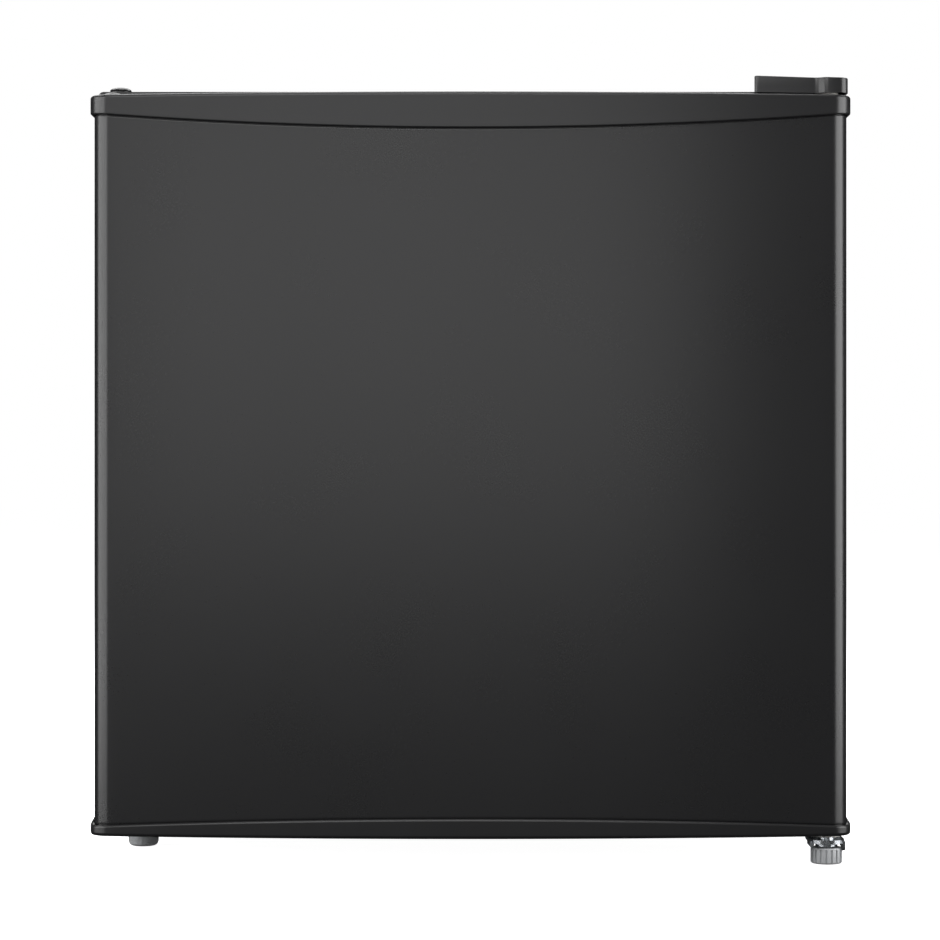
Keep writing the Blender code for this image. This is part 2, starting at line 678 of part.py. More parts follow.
def build_upper_hinge(zinc, plastic):
    """The hinge on the cabinet top, its screws and its cover, and the plug on the other side."""
    plate_low = CABINET_TOP + HINGE_PLATE_LIFT
    plate_high = plate_low + HINGE_PLATE
    plate_right = HINGE_X + 9.2 * MM
    plate = [
        (HINGE_X - 30 * MM, CABINET_FRONT + 3 * MM),
        (HINGE_X - 9 * MM, HINGE_Y - 9 * MM),
        (plate_right, HINGE_Y - 9 * MM),
        (plate_right, CABINET_FRONT + 38 * MM),
        (HINGE_X - 30 * MM, CABINET_FRONT + 38 * MM),
    ]
    radii = [4 * MM, 8 * MM, 8 * MM, 3 * MM, 3 * MM]
    hinge = add_piece("upper_hinge", extruded_shape(filleted(plate, radii), "z", plate_low, plate_high), zinc)
    pin_low = DOOR_TOP - 12 * MM
    pin = rod_shape(TOP_PIN_RADIUS, pin_low, plate_high - 0.2 * MM, (HINGE_X, HINGE_Y, 0))
    combine(hinge, "UNION", [make_cutter("upper_pin", pin)])
    for number, place in enumerate(hinge_screw_places(), 1):
        seat = turned_shape(
            [(0, -4 * MM), (2.3 * MM, -4 * MM), (2.3 * MM, -1.6 * MM), (4.3 * MM, -1.6 * MM),
             (4.3 * MM, 2 * MM), (0, 2 * MM)],
            (*place, plate_high),
            sides=20,
        )
        combine(hinge, "DIFFERENCE", [make_cutter(f"screw_seat_{number}", seat)])
        screw = [(0, -14), (1, -14), (2, -12.5), (2, -1.3), (4, -1.3), (4, 0), (3.2, 0.3), (0, 0.3)]
        profile = [(radius * MM, height * MM) for radius, height in screw]
        add_piece(f"upper_hinge_screw_{number}", turned_shape(profile, (*place, plate_high), sides=12), zinc)

    left = HINGE_X - 46.6 * MM
    right = HALF_WIDTH - 2 * MM
    step_x = HINGE_X - 7 * MM
    front = HINGE_Y - 17.5 * MM
    back = CABINET_FRONT + 43 * MM
    wall = 1.5 * MM
    cover_low = DOOR_TOP + 1.5 * MM
    cover_high = plate_high + 0.5 * MM + wall

    def cover_outline(inset):
        points = [
            (left + inset, back - inset),
            (left + inset, front + 3 * MM + inset),
            (step_x - 2 * MM + inset, front + 3 * MM + inset),
            (step_x + inset, front + inset),
            (right - inset, front + inset),
            (right - inset, back - inset),
        ]
        corner = 4.5 * MM - inset
        return filleted(points, [2 * MM, 1 * MM, 1 * MM, 1 * MM, corner, 2 * MM])

    cover = add_piece(
        "hinge_cover", extruded_shape(cover_outline(0), "z", cover_low, cover_high), plastic
    )
    edges = block_shape(
        (left - 5 * MM, right + 5 * MM),
        (CABINET_FRONT - GAP, back + 5 * MM),
        (cover_low - 5 * MM, CABINET_TOP + GAP),
    )
    hollow = extruded_shape(cover_outline(wall), "z", cover_low - 5 * MM, cover_high - wall)
    combine(cover, "DIFFERENCE", [make_cutter("cover_rear_cut", edges), make_cutter("cover_hollow", hollow)])
    plug = plug_shape(CABINET_PLUG, CABINET_TOP, 1.5 * MM, 4.2 * MM, 8 * MM)
    add_piece("cabinet_hole_plug", plug, plastic)


def foot_shape(place, ribs, stud_top):
    """A levelling foot: a ribbed disc with a stud."""
    x, y = place
    count = 2 * ribs

    def ring(radius, z, relief):
        points = []
        for i in range(count):
            angle = 2 * math.pi * i / count
            reach = radius - (relief if i % 2 else 0)
            points.append((x + reach * math.cos(angle), y + reach * math.sin(angle), z))
        return points

    rib = 0.6 * MM
    return lofted_shape(
        [
            ring(FOOT_RADIUS - 1.5 * MM, 0, 0),
            ring(FOOT_RADIUS, 1.2 * MM, rib),
            ring(FOOT_RADIUS, FOOT_HEIGHT - 0.8 * MM, rib),
            ring(FOOT_RADIUS - 1 * MM, FOOT_HEIGHT, 0),
            ring(STUD_RADIUS, FOOT_HEIGHT, 0),
            ring(STUD_RADIUS, stud_top, 0),
        ]
    )


def build_lower_hinge(zinc, foot_plastic):
    """The bracket under the door, the levelling feet and their nuts."""
    half = BRACKET_WIDTH / 2
    left, right = HINGE_X - half, HINGE_X + half
    nose = HINGE_Y - 11 * MM
    plate_top = BRACKET_Z + BRACKET_PLATE
    seat_top = CABINET_BOTTOM - GAP
    seat_low = seat_top - BRACKET_PLATE
    rise, land = CABINET_FRONT - 9 * MM, CABINET_FRONT - 1 * MM
    back = CABINET_FRONT + 50 * MM
    strip = [
        (nose, BRACKET_Z),
        (rise, BRACKET_Z),
        (land, seat_low),
        (back, seat_low),
        (back, seat_top),
        (land - 1 * MM, seat_top),
        (rise - 1 * MM, plate_top),
        (nose, plate_top),
    ]
    shape = extruded_shape(strip, "x", left, right)
    corners = [
        edge
        for edge in shape.edges
        if all(abs(vert.co.y - nose) < 0.1 * MM for vert in edge.verts)
        and abs(edge.verts[0].co.x - edge.verts[1].co.x) < 0.1 * MM
    ]
    bmesh.ops.bevel(shape, geom=corners, offset=5 * MM, segments=6, profile=0.5, affect="EDGES")
    bracket = add_piece("lower_hinge", shape, zinc)
    lip_high, lip_low = BRACKET_Z + 1 * MM, FOOT_HEIGHT + GAP
    left_lip = [
        (left, lip_high), (left + 3.5 * MM, lip_high), (left + 2 * MM, lip_low), (left + 0.4 * MM, lip_low),
    ]
    right_lip = [
        (right - 1.8 * MM, lip_high), (right, lip_high), (right, lip_low), (right - 1.8 * MM, lip_low),
    ]
    hook = block_shape(
        (right - 1.8 * MM, right), (nose + 4.5 * MM, HINGE_Y - 4.2 * MM), (lip_low - 2 * MM, lip_high)
    )
    lips = [
        make_cutter(name, extruded_shape(outline, "y", HINGE_Y - 5 * MM, rise - 2 * MM))
        for name, outline in (("left_lip", left_lip), ("right_lip", right_lip))
    ]
    lips.append(make_cutter("right_hook", hook))
    pin = rod_shape(LOWER_PIN_RADIUS, BRACKET_Z + 0.5 * MM, LOWER_PIN_TOP, (HINGE_X, HINGE_Y, 0))
    combine(bracket, "UNION", [*lips, make_cutter("lower_pin", pin)])
    bore = rod_shape(STUD_RADIUS + GAP, 0, LOWER_PIN_TOP + 5 * MM, (HINGE_X, HINGE_Y, 0))
    screws = [(HINGE_X - 4 * MM, CABINET_FRONT + 14 * MM), (HINGE_X - 4 * MM, CABINET_FRONT + 36 * MM)]
    holes = [make_cutter("pin_bore", bore)]
    for number, place in enumerate(screws, 1):
        hole = rod_shape(2.3 * MM, seat_low - 2 * MM, seat_top + 2 * MM, (*place, 0), sides=12)
        holes.append(make_cutter(f"bracket_hole_{number}", hole))
        screw = [(0, -2.3), (3.4, -2.3), (4.2, -1.4), (4.2, -0.3), (2, -0.3), (2, 2.4), (0, 2.4)]
        profile = [(radius * MM, height * MM) for radius, height in screw]
        add_piece(f"lower_hinge_screw_{number}", turned_shape(profile, (*place, seat_low), sides=12), zinc)
    combine(bracket, "DIFFERENCE", holes)

    nut_radius = PLUG_RADIUS
    nut_low, nut_high = FOOT_HEIGHT + GAP, BRACKET_Z - GAP
    nut = [(STUD_RADIUS + GAP, nut_low), (nut_radius, nut_low), (nut_radius, nut_high)]
    nut += [(STUD_RADIUS + GAP, nut_high)]
    add_piece(
        "right_foot_nut", turned_shape(nut, (HINGE_X, HINGE_Y, 0), sides=24, closed=True), zinc
    )
    pan_top = CABINET_BOTTOM + PAN_SHEET
    hex_bore = (STUD_RADIUS + GAP) / math.cos(math.pi / 6)
    nut = [(hex_bore, GAP), (nut_radius, GAP), (nut_radius, 5 * MM), (hex_bore, 5 * MM)]
    add_piece("left_foot_nut", turned_shape(nut, (*LEFT_FOOT, pan_top), sides=6, closed=True), zinc)

    right_axis = add_axis("right_foot_axis", (HINGE_X, HINGE_Y, 0))
    left_axis = add_axis("left_foot_axis", (*LEFT_FOOT, 0))
    right_shape = foot_shape((HINGE_X, HINGE_Y), 18, RIGHT_STUD_TOP)
    left_shape = foot_shape(LEFT_FOOT, 24, pan_top + 16 * MM)
    add_piece("right_foot", right_shape, foot_plastic, (HINGE_X, HINGE_Y, 0), right_axis)
    add_piece("left_foot", left_shape, foot_plastic, (*LEFT_FOOT, 0), left_axis)


def build_door(paint, cap_plastic, foam, liner, seal, bush_plastic, rack_plastic):
    """The door: skin, caps, foam, liner, seal, racks and hinge bushes."""
    axis = add_axis("door_axis", (HINGE_X, HINGE_Y, 0))
    pivot = (HINGE_X, HINGE_Y, 0)
    add_piece("door_skin", skin_shape(), paint, pivot, axis)
    top_cap = add_piece("door_top_cap", cap_shape(DOOR_TOP, top_seam, -1), cap_plastic, pivot, axis)
    low_cap = add_piece("door_bottom_cap", cap_shape(DOOR_BOTTOM, bottom_seam, 1), cap_plastic, pivot, axis)
    hole = BUSH_RADIUS + GAP
    low_bush = LOWER_PIN_RADIUS + GAP + 1.5 * MM
    pocket = 18 * MM
    top_hole = make_cutter("top_bush_hole", rod_shape(hole, -pocket, 5 * MM, (HINGE_X, HINGE_Y, DOOR_TOP)))
    low_hole = make_cutter(
        "bottom_bush_hole", rod_shape(low_bush + GAP, -5 * MM, pocket, (HINGE_X, HINGE_Y, DOOR_BOTTOM))
    )
    plug_hole = make_cutter(
        "door_plug_hole", rod_shape(PLUG_STEM + GAP, -9 * MM, 5 * MM, (*DOOR_PLUG, DOOR_TOP))
    )
    combine(top_cap, "DIFFERENCE", [top_hole, plug_hole])
    combine(low_cap, "DIFFERENCE", [low_hole])

    plate_low = DOOR_BOTTOM + CAP_PLATE + GAP
    plate_high = DOOR_TOP - CAP_PLATE - GAP
    flange_half = SKIN_HALF - SHEET - GAP
    inset = SHEET + GAP
    outline = bowed_outline(
        SKIN_HALF - inset, SKIN_FRONT + inset, DOOR_CORNER - inset, DOOR_BACK + DYKE_HEIGHT
    )
    door_foam = add_piece(
        "door_foam", extruded_shape(outline, "z", plate_low, plate_high), foam, pivot, axis
    )
    clear = DOOR_LINER_SHEET + GAP
    rings = door_liner_rings(clear, HALF_WIDTH + 5 * MM, DOOR_BOTTOM - 5 * MM, DOOR_TOP + 5 * MM)
    behind = round_ring(
        HALF_WIDTH + 5 * MM, DOOR_BOTTOM - 5 * MM, DOOR_TOP + 5 * MM, DOOR_BACK + 60 * MM, 1 * MM
    )
    air = make_cutter("door_back_air", lofted_shape([*rings, behind]))
    combine(door_foam, "DIFFERENCE", [air, top_hole, low_hole, plug_hole])

    face = door_liner_rings(0, flange_half, plate_low, plate_high)
    rear = door_liner_rings(DOOR_LINER_SHEET, flange_half, plate_low, plate_high)
    add_piece("door_liner", lofted_shape([*face, *reversed(rear)]), liner, pivot, axis)

    seal_half = HALF_WIDTH - SEAL_INSET
    seal_low, seal_high = CABINET_BOTTOM + 16 * MM, CABINET_TOP - 15.5 * MM
    waist = 2.5 * MM
    stations = [(0, 0), (waist, 0.4), (0, 0.75), (0, 1), (SEAL_WIDTH, 1), (SEAL_WIDTH, 0.75)]
    stations += [(SEAL_WIDTH - waist, 0.4), (SEAL_WIDTH, 0)]
    seal_front, seal_back = DOOR_BACK + GAP, CABINET_FRONT - GAP
    rings = [
        round_ring(
            seal_half - inward,
            seal_low + inward,
            seal_high - inward,
            seal_front + (seal_back - seal_front) * share,
            2 * MM,
            steps=2,
        )
        for inward, share in stations
    ]
    add_piece("door_gasket", lofted_shape(rings, wrap=True), seal, pivot, axis)

    rack_half = LINER_HALF - DYKE_CLEARANCE - DYKE_WIDTH - 2 * MM - GAP
    rack_front = DOOR_BACK + RECESS_RISE + GAP
    racks = (
        ("bottle_rack", LINER_FLOOR + DYKE_CLEARANCE + DYKE_WIDTH + 4 * MM),
        ("upper_rack", SHELF_Z + 12 * MM),
    )
    for name, low in racks:
        rack = add_piece(
            name, rack_shape(rack_half, rack_front, low, RACK_WALL), rack_plastic, pivot, axis
        )
        slots = [
            make_cutter(f"{name}_slot_{number}", slot_shape(x, rack_front, low))
            for number, x in enumerate((-1.5, -0.5, 0.5, 1.5), 1)
        ]
        combine(rack, "DIFFERENCE", slots)

    top_bush = [
        (TOP_PIN_RADIUS + GAP, -15 * MM), (BUSH_RADIUS, -15 * MM), (BUSH_RADIUS, GAP),
        (BUSH_RADIUS + 1.8 * MM, GAP), (BUSH_RADIUS + 1.8 * MM, 3 * MM), (TOP_PIN_RADIUS + GAP, 3 * MM),
    ]
    add_piece(
        "door_top_bush",
        turned_shape(top_bush, (HINGE_X, HINGE_Y, DOOR_TOP), sides=24, closed=True),
        bush_plastic,
        pivot,
        axis,
    )
    bore = LOWER_PIN_RADIUS + GAP
    bottom_bush = [
        (bore, -BUSH_FLANGE), (low_bush + 1.8 * MM, -BUSH_FLANGE), (low_bush + 1.8 * MM, -GAP),
        (low_bush, -GAP), (low_bush, 16 * MM), (bore, 16 * MM),
    ]
    add_piece(
        "door_bottom_bush",
        turned_shape(bottom_bush, (HINGE_X, HINGE_Y, DOOR_BOTTOM), sides=24, closed=True),
        bush_plastic,
        pivot,
        axis,
    )
    plug = plug_shape(DOOR_PLUG, DOOR_TOP, 0.8 * MM, 3.3 * MM, 8 * MM)
    add_piece("door_hole_plug", plug, cap_plastic, pivot, axis)


def rack_shape(half, front, low, wall):
    """An open-topped bin between the door's raised rims."""
    high = low + RACK_HEIGHT
    back = front + RACK_DEPTH
    lean = 3 * MM

    def ring(x_half, y_low, y_high, z):
        corners = [(x_half, y_low), (x_half, y_high), (-x_half, y_high), (-x_half, y_low)]
        radius = 5 * MM
        return [(x, y, z) for x, y in filleted(corners, [0.5 * MM, radius, radius, 0.5 * MM], 3)]

    return lofted_shape(
        [
            ring(half - lean, front, back - lean, low),
            ring(half, front, back, high),
            ring(half - wall, front + wall, back - wall, high),
            ring(half - lean - wall, front + wall, back - lean - wall, low + wall),
        ]
    )


def slot_shape(position, front, low):
    """One of the long slots in a rack's outer wall."""
    pitch = 78 * MM
    x = position * pitch
    return block_shape(
        (x - 32 * MM, x + 32 * MM),
        (front + RACK_DEPTH - 12 * MM, front + RACK_DEPTH + 5 * MM),
        (low + 24 * MM, low + 40 * MM),
    )


def build_freezer(aluminium, plastic, clear_plastic):
    """The evaporator box under the ceiling, its frame and flap, the drip tray and its runners."""
    half = FREEZER_HALF_WIDTH

    def ring(inset, y):
        return round_ring(half - inset, FREEZER_BOTTOM + inset, FREEZER_TOP - inset, y, 6 * MM - inset)

    sheet = EVAPORATOR_SHEET
    front = FREEZER_FRAME_BACK + GAP
    evaporator = add_piece(
        "evaporator_box",
        lofted_shape(
            [
                ring(0, EVAPORATOR_BACK),
                ring(0, front),
                ring(sheet, front),
                ring(sheet, EVAPORATOR_BACK - sheet),
            ]
        ),
        aluminium,
    )
    hangers = []
    for side in (-1, 1):
        across = sorted((side * 96 * MM, side * 112 * MM))
        hanger = block_shape(
            across,
            (front + 16 * MM, EVAPORATOR_BACK - 16 * MM),
            (FREEZER_TOP - 0.5 * MM, LINER_CEILING - GAP),
        )
        hangers.append(make_cutter(f"hanger_{'left' if side < 0 else 'right'}", hanger))
    combine(evaporator, "UNION", hangers)

    open_half = half - 9 * MM
    open_low, open_high = FREEZER_BOTTOM + 8 * MM, FREEZER_TOP - 6 * MM
    frame_half, frame_low, frame_high = half + 6 * MM, FREEZER_BOTTOM - 4 * MM, FREEZER_TOP + 6 * MM
    frame = add_piece(
        "freezer_frame",
        lofted_shape(
            [
                round_ring(frame_half, frame_low, frame_high, FREEZER_FRONT, 7 * MM),
                round_ring(frame_half, frame_low, frame_high, FREEZER_FRAME_BACK, 7 * MM),
                round_ring(open_half, open_low, open_high, FREEZER_FRAME_BACK, 1 * MM),
                round_ring(open_half, open_low, open_high, FREEZER_FRONT, 1 * MM),
            ],
            wrap=True,
        ),
        plastic,
    )
    pivot = (0, FREEZER_FRONT + 4 * MM, open_high - FLAP_CLEAR_TOP)
    pin_radius = 1.8 * MM
    flap_half = open_half - RUN_CLEARANCE
    pin_end = open_half + 3 * MM
    bore = rod_shape(pin_radius + GAP, -pin_end - 0.5 * MM, pin_end + 0.5 * MM, pivot, "x", 12)
    combine(frame, "DIFFERENCE", [make_cutter("flap_bores", bore)])

    face = FREEZER_FRONT - 2 * MM
    back = face + 3.5 * MM
    flap_low = open_low + RUN_CLEARANCE
    knuckle = 3 * MM
    outline = [
        (face, flap_low), (back, flap_low), (back, pivot[2] - knuckle),
        (pivot[1] + knuckle * 0.4, pivot[2] - knuckle), (pivot[1] + knuckle, pivot[2] - knuckle * 0.4),
        (pivot[1] + knuckle, pivot[2] + knuckle * 0.4), (pivot[1] + knuckle * 0.4, pivot[2] + 2.5 * MM),
        (face + 1 * MM, pivot[2] + 2.5 * MM), (face, pivot[2] + 1.5 * MM),
        (face, flap_low + 10 * MM), (face - 5 * MM, flap_low + 8 * MM), (face - 5 * MM, flap_low + 5 * MM),
        (face, flap_low + 4 * MM),
    ]
    flap_axis = add_axis("flap_axis", pivot)
    flap = add_piece(
        "freezer_flap", extruded_shape(outline, "x", -flap_half, flap_half), clear_plastic, pivot, flap_axis
    )
    pins = [
        make_cutter(
            f"flap_pin_{'left' if side < 0 else 'right'}",
            rod_shape(pin_radius, *sorted((side * (flap_half - 2 * MM), side * pin_end)), pivot, "x", 12),
        )
        for side in (-1, 1)
    ]
    combine(flap, "UNION", pins)

    wall = 2 * MM
    tray_half = half - 6 * MM
    lip_half = half - 2 * MM
    tray_front, tray_back = FREEZER_FRONT + 4 * MM, EVAPORATOR_BACK - 34 * MM
    middle = (tray_front + tray_back) / 2
    reach = (tray_back - tray_front) / 2
    top = TRAY_TOP
    low = top - TRAY_HEIGHT

    def tray_ring(x_half, y_half, z, radius):
        corners = [(x_half, -y_half), (x_half, y_half), (-x_half, y_half), (-x_half, -y_half)]
        return [(x, y + middle, z) for x, y in filleted(corners, [radius] * 4, 3)]

    tray = lofted_shape(
        [
            tray_ring(tray_half - 3 * MM, reach - 3 * MM, low, 4 * MM),
            tray_ring(tray_half, reach - 1 * MM, top - wall, 4 * MM),
            tray_ring(lip_half, reach, top - wall, 4 * MM),
            tray_ring(lip_half, reach, top, 4 * MM),
            tray_ring(tray_half - wall, reach - 1 * MM - wall, top, 3 * MM),
            tray_ring(tray_half - 3 * MM - wall, reach - 3 * MM - wall, low + wall, 3 * MM),
        ]
    )
    tray_axis = add_axis("drip_tray_axis", (0, tray_front, top))
    add_piece("drip_tray", tray, clear_plastic, (0, tray_front, top), tray_axis)
    for side, name in ((-1, "tray_runner_left"), (1, "tray_runner_right")):
        inner, web, outer = tray_half + 1 * MM, lip_half + RUN_CLEARANCE, lip_half + 4 * MM
        channel = [
            (inner, top - wall - GAP - 2 * MM), (outer, top - wall - GAP - 2 * MM),
            (outer, FREEZER_BOTTOM - GAP), (inner, FREEZER_BOTTOM - GAP),
            (inner, FREEZER_BOTTOM - GAP - 2 * MM), (web, FREEZER_BOTTOM - GAP - 2 * MM),
            (web, top - wall - GAP), (inner, top - wall - GAP),
        ]
        outline = [(side * x, z) for x, z in channel]
        runner = extruded_shape(outline, "y", FREEZER_FRAME_BACK + GAP, tray_back + 8 * MM)
        add_piece(name, runner, plastic)


def build_interior(glass, trim, plastic, knob_plastic):
    """The shelf over the step and the thermostat on the right wall."""
    shelf_front, shelf_back = FREEZER_FRONT, LINER_BACK - 8 * MM
    shelf_half = LINER_HALF - 4 * MM
    trim_half = LINER_HALF - RAIL_WIDTH - 3 * MM
    shelf_axis = add_axis("shelf_axis", (0, shelf_front, SHELF_Z))
    origin = (0, shelf_front, SHELF_Z)
    add_piece(
        "shelf_glass",
        block_shape((-shelf_half, shelf_half), (shelf_front, shelf_back), (SHELF_Z, SHELF_Z + GLASS)),
        glass,
        origin,
        shelf_axis,
    )
    wall = 2 * MM
    lip = 12 * MM
    glass_low, glass_high = SHELF_Z - GAP, SHELF_Z + GLASS + GAP
    lip_end, web = shelf_front + lip, shelf_front - GAP
    channel = [
        (web - wall, glass_low - wall), (lip_end, glass_low - wall), (lip_end, glass_low),
        (web, glass_low), (web, glass_high), (lip_end, glass_high),
        (lip_end, glass_high + wall), (web - wall, glass_high + wall),
    ]
    add_piece("shelf_trim", extruded_shape(channel, "x", -trim_half, trim_half), trim, origin, shelf_axis)

    centre_y = FREEZER_FRONT + 85 * MM
    centre_z = SHELF_Z + 58 * MM
    face_x = LINER_HALF - 24 * MM
    housing = add_piece(
        "thermostat_housing",
        block_shape(
            (face_x, LINER_HALF - GAP),
            (centre_y - 42 * MM, centre_y + 36 * MM),
            (centre_z - 24 * MM, centre_z + 24 * MM),
            bevel=3 * MM,
        ),
        plastic,
    )
    centre = (face_x, centre_y, centre_z)
    shaft = 3 * MM
    bore = rod_shape(shaft + GAP, -2 * MM, 8 * MM, centre, "x", 16)
    combine(housing, "DIFFERENCE", [make_cutter("knob_bore", bore)])
    knob_axis = add_axis("knob_axis", centre)
    profile = [
        (0, 7 * MM), (shaft, 7 * MM), (shaft, -GAP), (KNOB_RADIUS, -GAP), (KNOB_RADIUS, -6 * MM),
        (KNOB_RADIUS - 1.5 * MM, -8 * MM), (0, -8 * MM),
    ]
    knob = add_piece(
        "thermostat_knob", turned_shape(profile, centre, "x", 32), knob_plastic, centre, knob_axis
    )
    grip = block_shape(
        (face_x - 13 * MM, face_x - 7 * MM),
        (centre_y - 2.5 * MM, centre_y + 2.5 * MM),
        (centre_z - 12 * MM, centre_z + 12 * MM),
    )
    combine(knob, "UNION", [make_cutter("knob_grip", grip)])


def build_compressor(black_steel, rubber, zinc, plastic):
    """The hermetic compressor on its three legs, with its relay cover."""
    base = CABINET_BOTTOM + PAN_SHEET
    x, y, radius = COMPRESSOR_X, COMPRESSOR_Y, COMPRESSOR_RADIUS
    leg_low = base + 10.6 * MM
    shell = [
        (0, 13), (0.55, 13), (0.85, 19), (1, 34), (1, 62), (1.05, 64), (1.05, 68), (1, 70),
        (1, 92), (0.92, 108), (0.7, 119), (0.35, 126), (0, 127.5),
    ]
    profile = [(share * radius, base + height * MM) for share, height in shell]
    body = add_piece("compressor_body", turned_shape(profile, (x, y, 0), sides=28), black_steel)
    leg_x_reach, leg_y_reach = radius + 2 * MM, 0.45 * radius
    places = [
        (x + leg_x_reach, y + leg_y_reach),
        (x - leg_x_reach, y + leg_y_reach),
        (x, y - radius - 5 * MM),
    ]
    pad = 12 * MM
    legs = []
    for number, (leg_x, leg_y) in enumerate(places, 1):
        if leg_x != x:
            across = sorted((leg_x + math.copysign(pad, leg_x - x), x - math.copysign(9 * MM, leg_x - x)))
            along = (leg_y - pad, leg_y + pad)
        else:
            across = (x - 1.1 * pad, x + 1.1 * pad)
            along = (leg_y - pad, y + 0.4 * radius)
        leg = block_shape(across, along, (leg_low, leg_low + 5 * MM))
        legs.append(make_cutter(f"leg_{number}", leg))
    stub = rod_shape(4.2 * MM, -radius - 12 * MM, 0, (x, y, base + 103 * MM), "x", 12)
    outlet = rod_shape(3.6 * MM, 0, radius + 10 * MM, (x, y, base + 86 * MM), "x", 12)
    legs += [make_cutter("suction_stub", stub), make_cutter("discharge_stub", outlet)]
    combine(body, "UNION", legs)
    holes = [
        make_cutter(f"leg_hole_{number}", rod_shape(3.3 * MM, 0, 20 * MM, (*place, base), sides=12))
        for number, place in enumerate(places, 1)
    ]
    combine(body, "DIFFERENCE", holes)
    for number, place in enumerate(places, 1):
        grommet = [(3.3, 0.3), (8.5, 0.3), (9, 2), (6.5, 5), (9, 8), (8.5, 10.3), (3.3, 10.3)]
        profile = [(r * MM, h * MM) for r, h in grommet]
        add_piece(
            f"compressor_grommet_{number}",
            turned_shape(profile, (*place, base), sides=14, closed=True),
            rubber,
        )
        bolt = [(0, 0.4), (3, 0.4), (3, 15.9), (7, 15.9), (7, 17), (5, 17), (5, 21), (0, 21)]
        profile = [(r * MM, h * MM) for r, h in bolt]
        add_piece(f"compressor_bolt_{number}", turned_shape(profile, (*place, base), sides=12), zinc)
    relay = block_shape(
        (x - 22 * MM, x + 22 * MM),
        (y - radius - 16 * MM + 6 * MM, y - radius * 0.8),
        (base + 40 * MM, base + 92 * MM),
        bevel=3 * MM,
    )
    relay_cover = add_piece("relay_cover", relay, plastic)
    clear_profile = [(share * radius + GAP * (share > 0), base + height * MM) for share, height in shell]
    clear = turned_shape(clear_profile, (x, y, 0), sides=72)
    combine(relay_cover, "DIFFERENCE", [make_cutter("relay_fit", clear)])


def build_cooling_circuit(painted_tube, copper, plastic):
    """Condenser coil on the back, its spacers, the drier, the capillary and the suction pipe."""
    base = CABINET_BOTTOM + PAN_SHEET
    bottom_limit = BAY_TOP + 15 * MM
    intervals = 2 * int(((COIL_TOP - bottom_limit) / COIL_PITCH - 1) / 2) + 1
    runs = [COIL_TOP - COIL_PITCH * number for number in range(intervals + 1)]
    riser_x = COIL_HALF + 20 * MM
    outlet_z = base + 86 * MM
    route = bent_route(
        [
            (COMPRESSOR_X + COMPRESSOR_RADIUS + 10 * MM + GAP, COMPRESSOR_Y, outlet_z),
            (riser_x, COMPRESSOR_Y, outlet_z),
            (riser_x, COIL_Y, outlet_z),
            (riser_x, COIL_Y, runs[0]),
            (0, COIL_Y, runs[0]),
        ],
        10 * MM,
        3,
    )[:-1]
    bend = COIL_PITCH / 2
    side = -1
    for upper, lower in zip(runs, runs[1:]):
        for step in range(6):
            angle = math.radians(90 - 36 * step)
            x = side * (COIL_HALF - bend + bend * math.cos(angle))
            route.append(Vector((x, COIL_Y, (upper + lower) / 2 + bend * math.sin(angle))))
        side = -side
    drier_x, drier_z = COIL_HALF + 5 * MM, base + 117 * MM
    drier_back = CABINET_BACK - 16 * MM
    outlet = [
        (COIL_HALF - 40 * MM, COIL_Y, runs[-1]),
        (drier_x, COIL_Y, runs[-1]),
        (drier_x, COIL_Y, drier_z),
        (drier_x, drier_back + GAP, drier_z),
    ]
    route += bent_route(outlet, 8 * MM, 3)[1:]
    add_tube("condenser_coil", route, TUBE_RADIUS, painted_tube)

    drier = [(0, 0), (2.5, 0), (2.5, -6), (8, -11), (8, -50), (2, -56), (2, -62), (0, -62)]
    profile = [(radius * MM, height * MM) for radius, height in drier]
    add_piece(
        "filter_drier", turned_shape(profile, (drier_x, drier_back, drier_z), "y", 20), copper
    )
    over = base + 142 * MM
    hole_x, hole_z = PIPE_HOLE
    entry = EVAPORATOR_BACK + 0.5 * MM
    drier_front = drier_back - 62 * MM - GAP
    cap_x = hole_x + 5 * MM
    capillary = [
        (drier_x, drier_front, drier_z),
        (drier_x, drier_front - 14 * MM, drier_z),
        (drier_x, drier_front - 14 * MM, over),
        (cap_x, drier_front - 14 * MM, over),
        (cap_x, PIPE_Y, over),
        (cap_x, PIPE_Y, hole_z),
        (cap_x, entry, hole_z),
    ]
    add_tube("capillary_tube", bent_route(capillary, 6 * MM, 3), CAPILLARY_RADIUS, copper)
    suction_x, suction_z = hole_x - 4.5 * MM, base + 103 * MM
    suction = [
        (COMPRESSOR_X - COMPRESSOR_RADIUS - 12 * MM - GAP, COMPRESSOR_Y, suction_z),
        (suction_x, COMPRESSOR_Y, suction_z),
        (suction_x, PIPE_Y, suction_z),
        (suction_x, PIPE_Y, hole_z),
        (suction_x, entry, hole_z),
    ]
    add_tube("suction_pipe", bent_route(suction, 7 * MM, 3), SUCTION_RADIUS, copper)

    number = 0
    for z in (runs[0], runs[-1]):
        for across in (-1, 1):
            number += 1
            x = across * (COIL_HALF - 45 * MM)
            spacer = add_piece(
                f"condenser_spacer_{number}",
                block_shape(
                    (x - 8 * MM, x + 8 * MM), (CABINET_BACK + GAP, DEPTH / 2), (z - 9 * MM, z + 9 * MM)
                ),
                plastic,
            )
            hole = rod_shape(TUBE_RADIUS + GAP, -12 * MM, 12 * MM, (x, COIL_Y, z), "x", 16)
            combine(spacer, "DIFFERENCE", [make_cutter(f"spacer_hole_{number}", hole)])


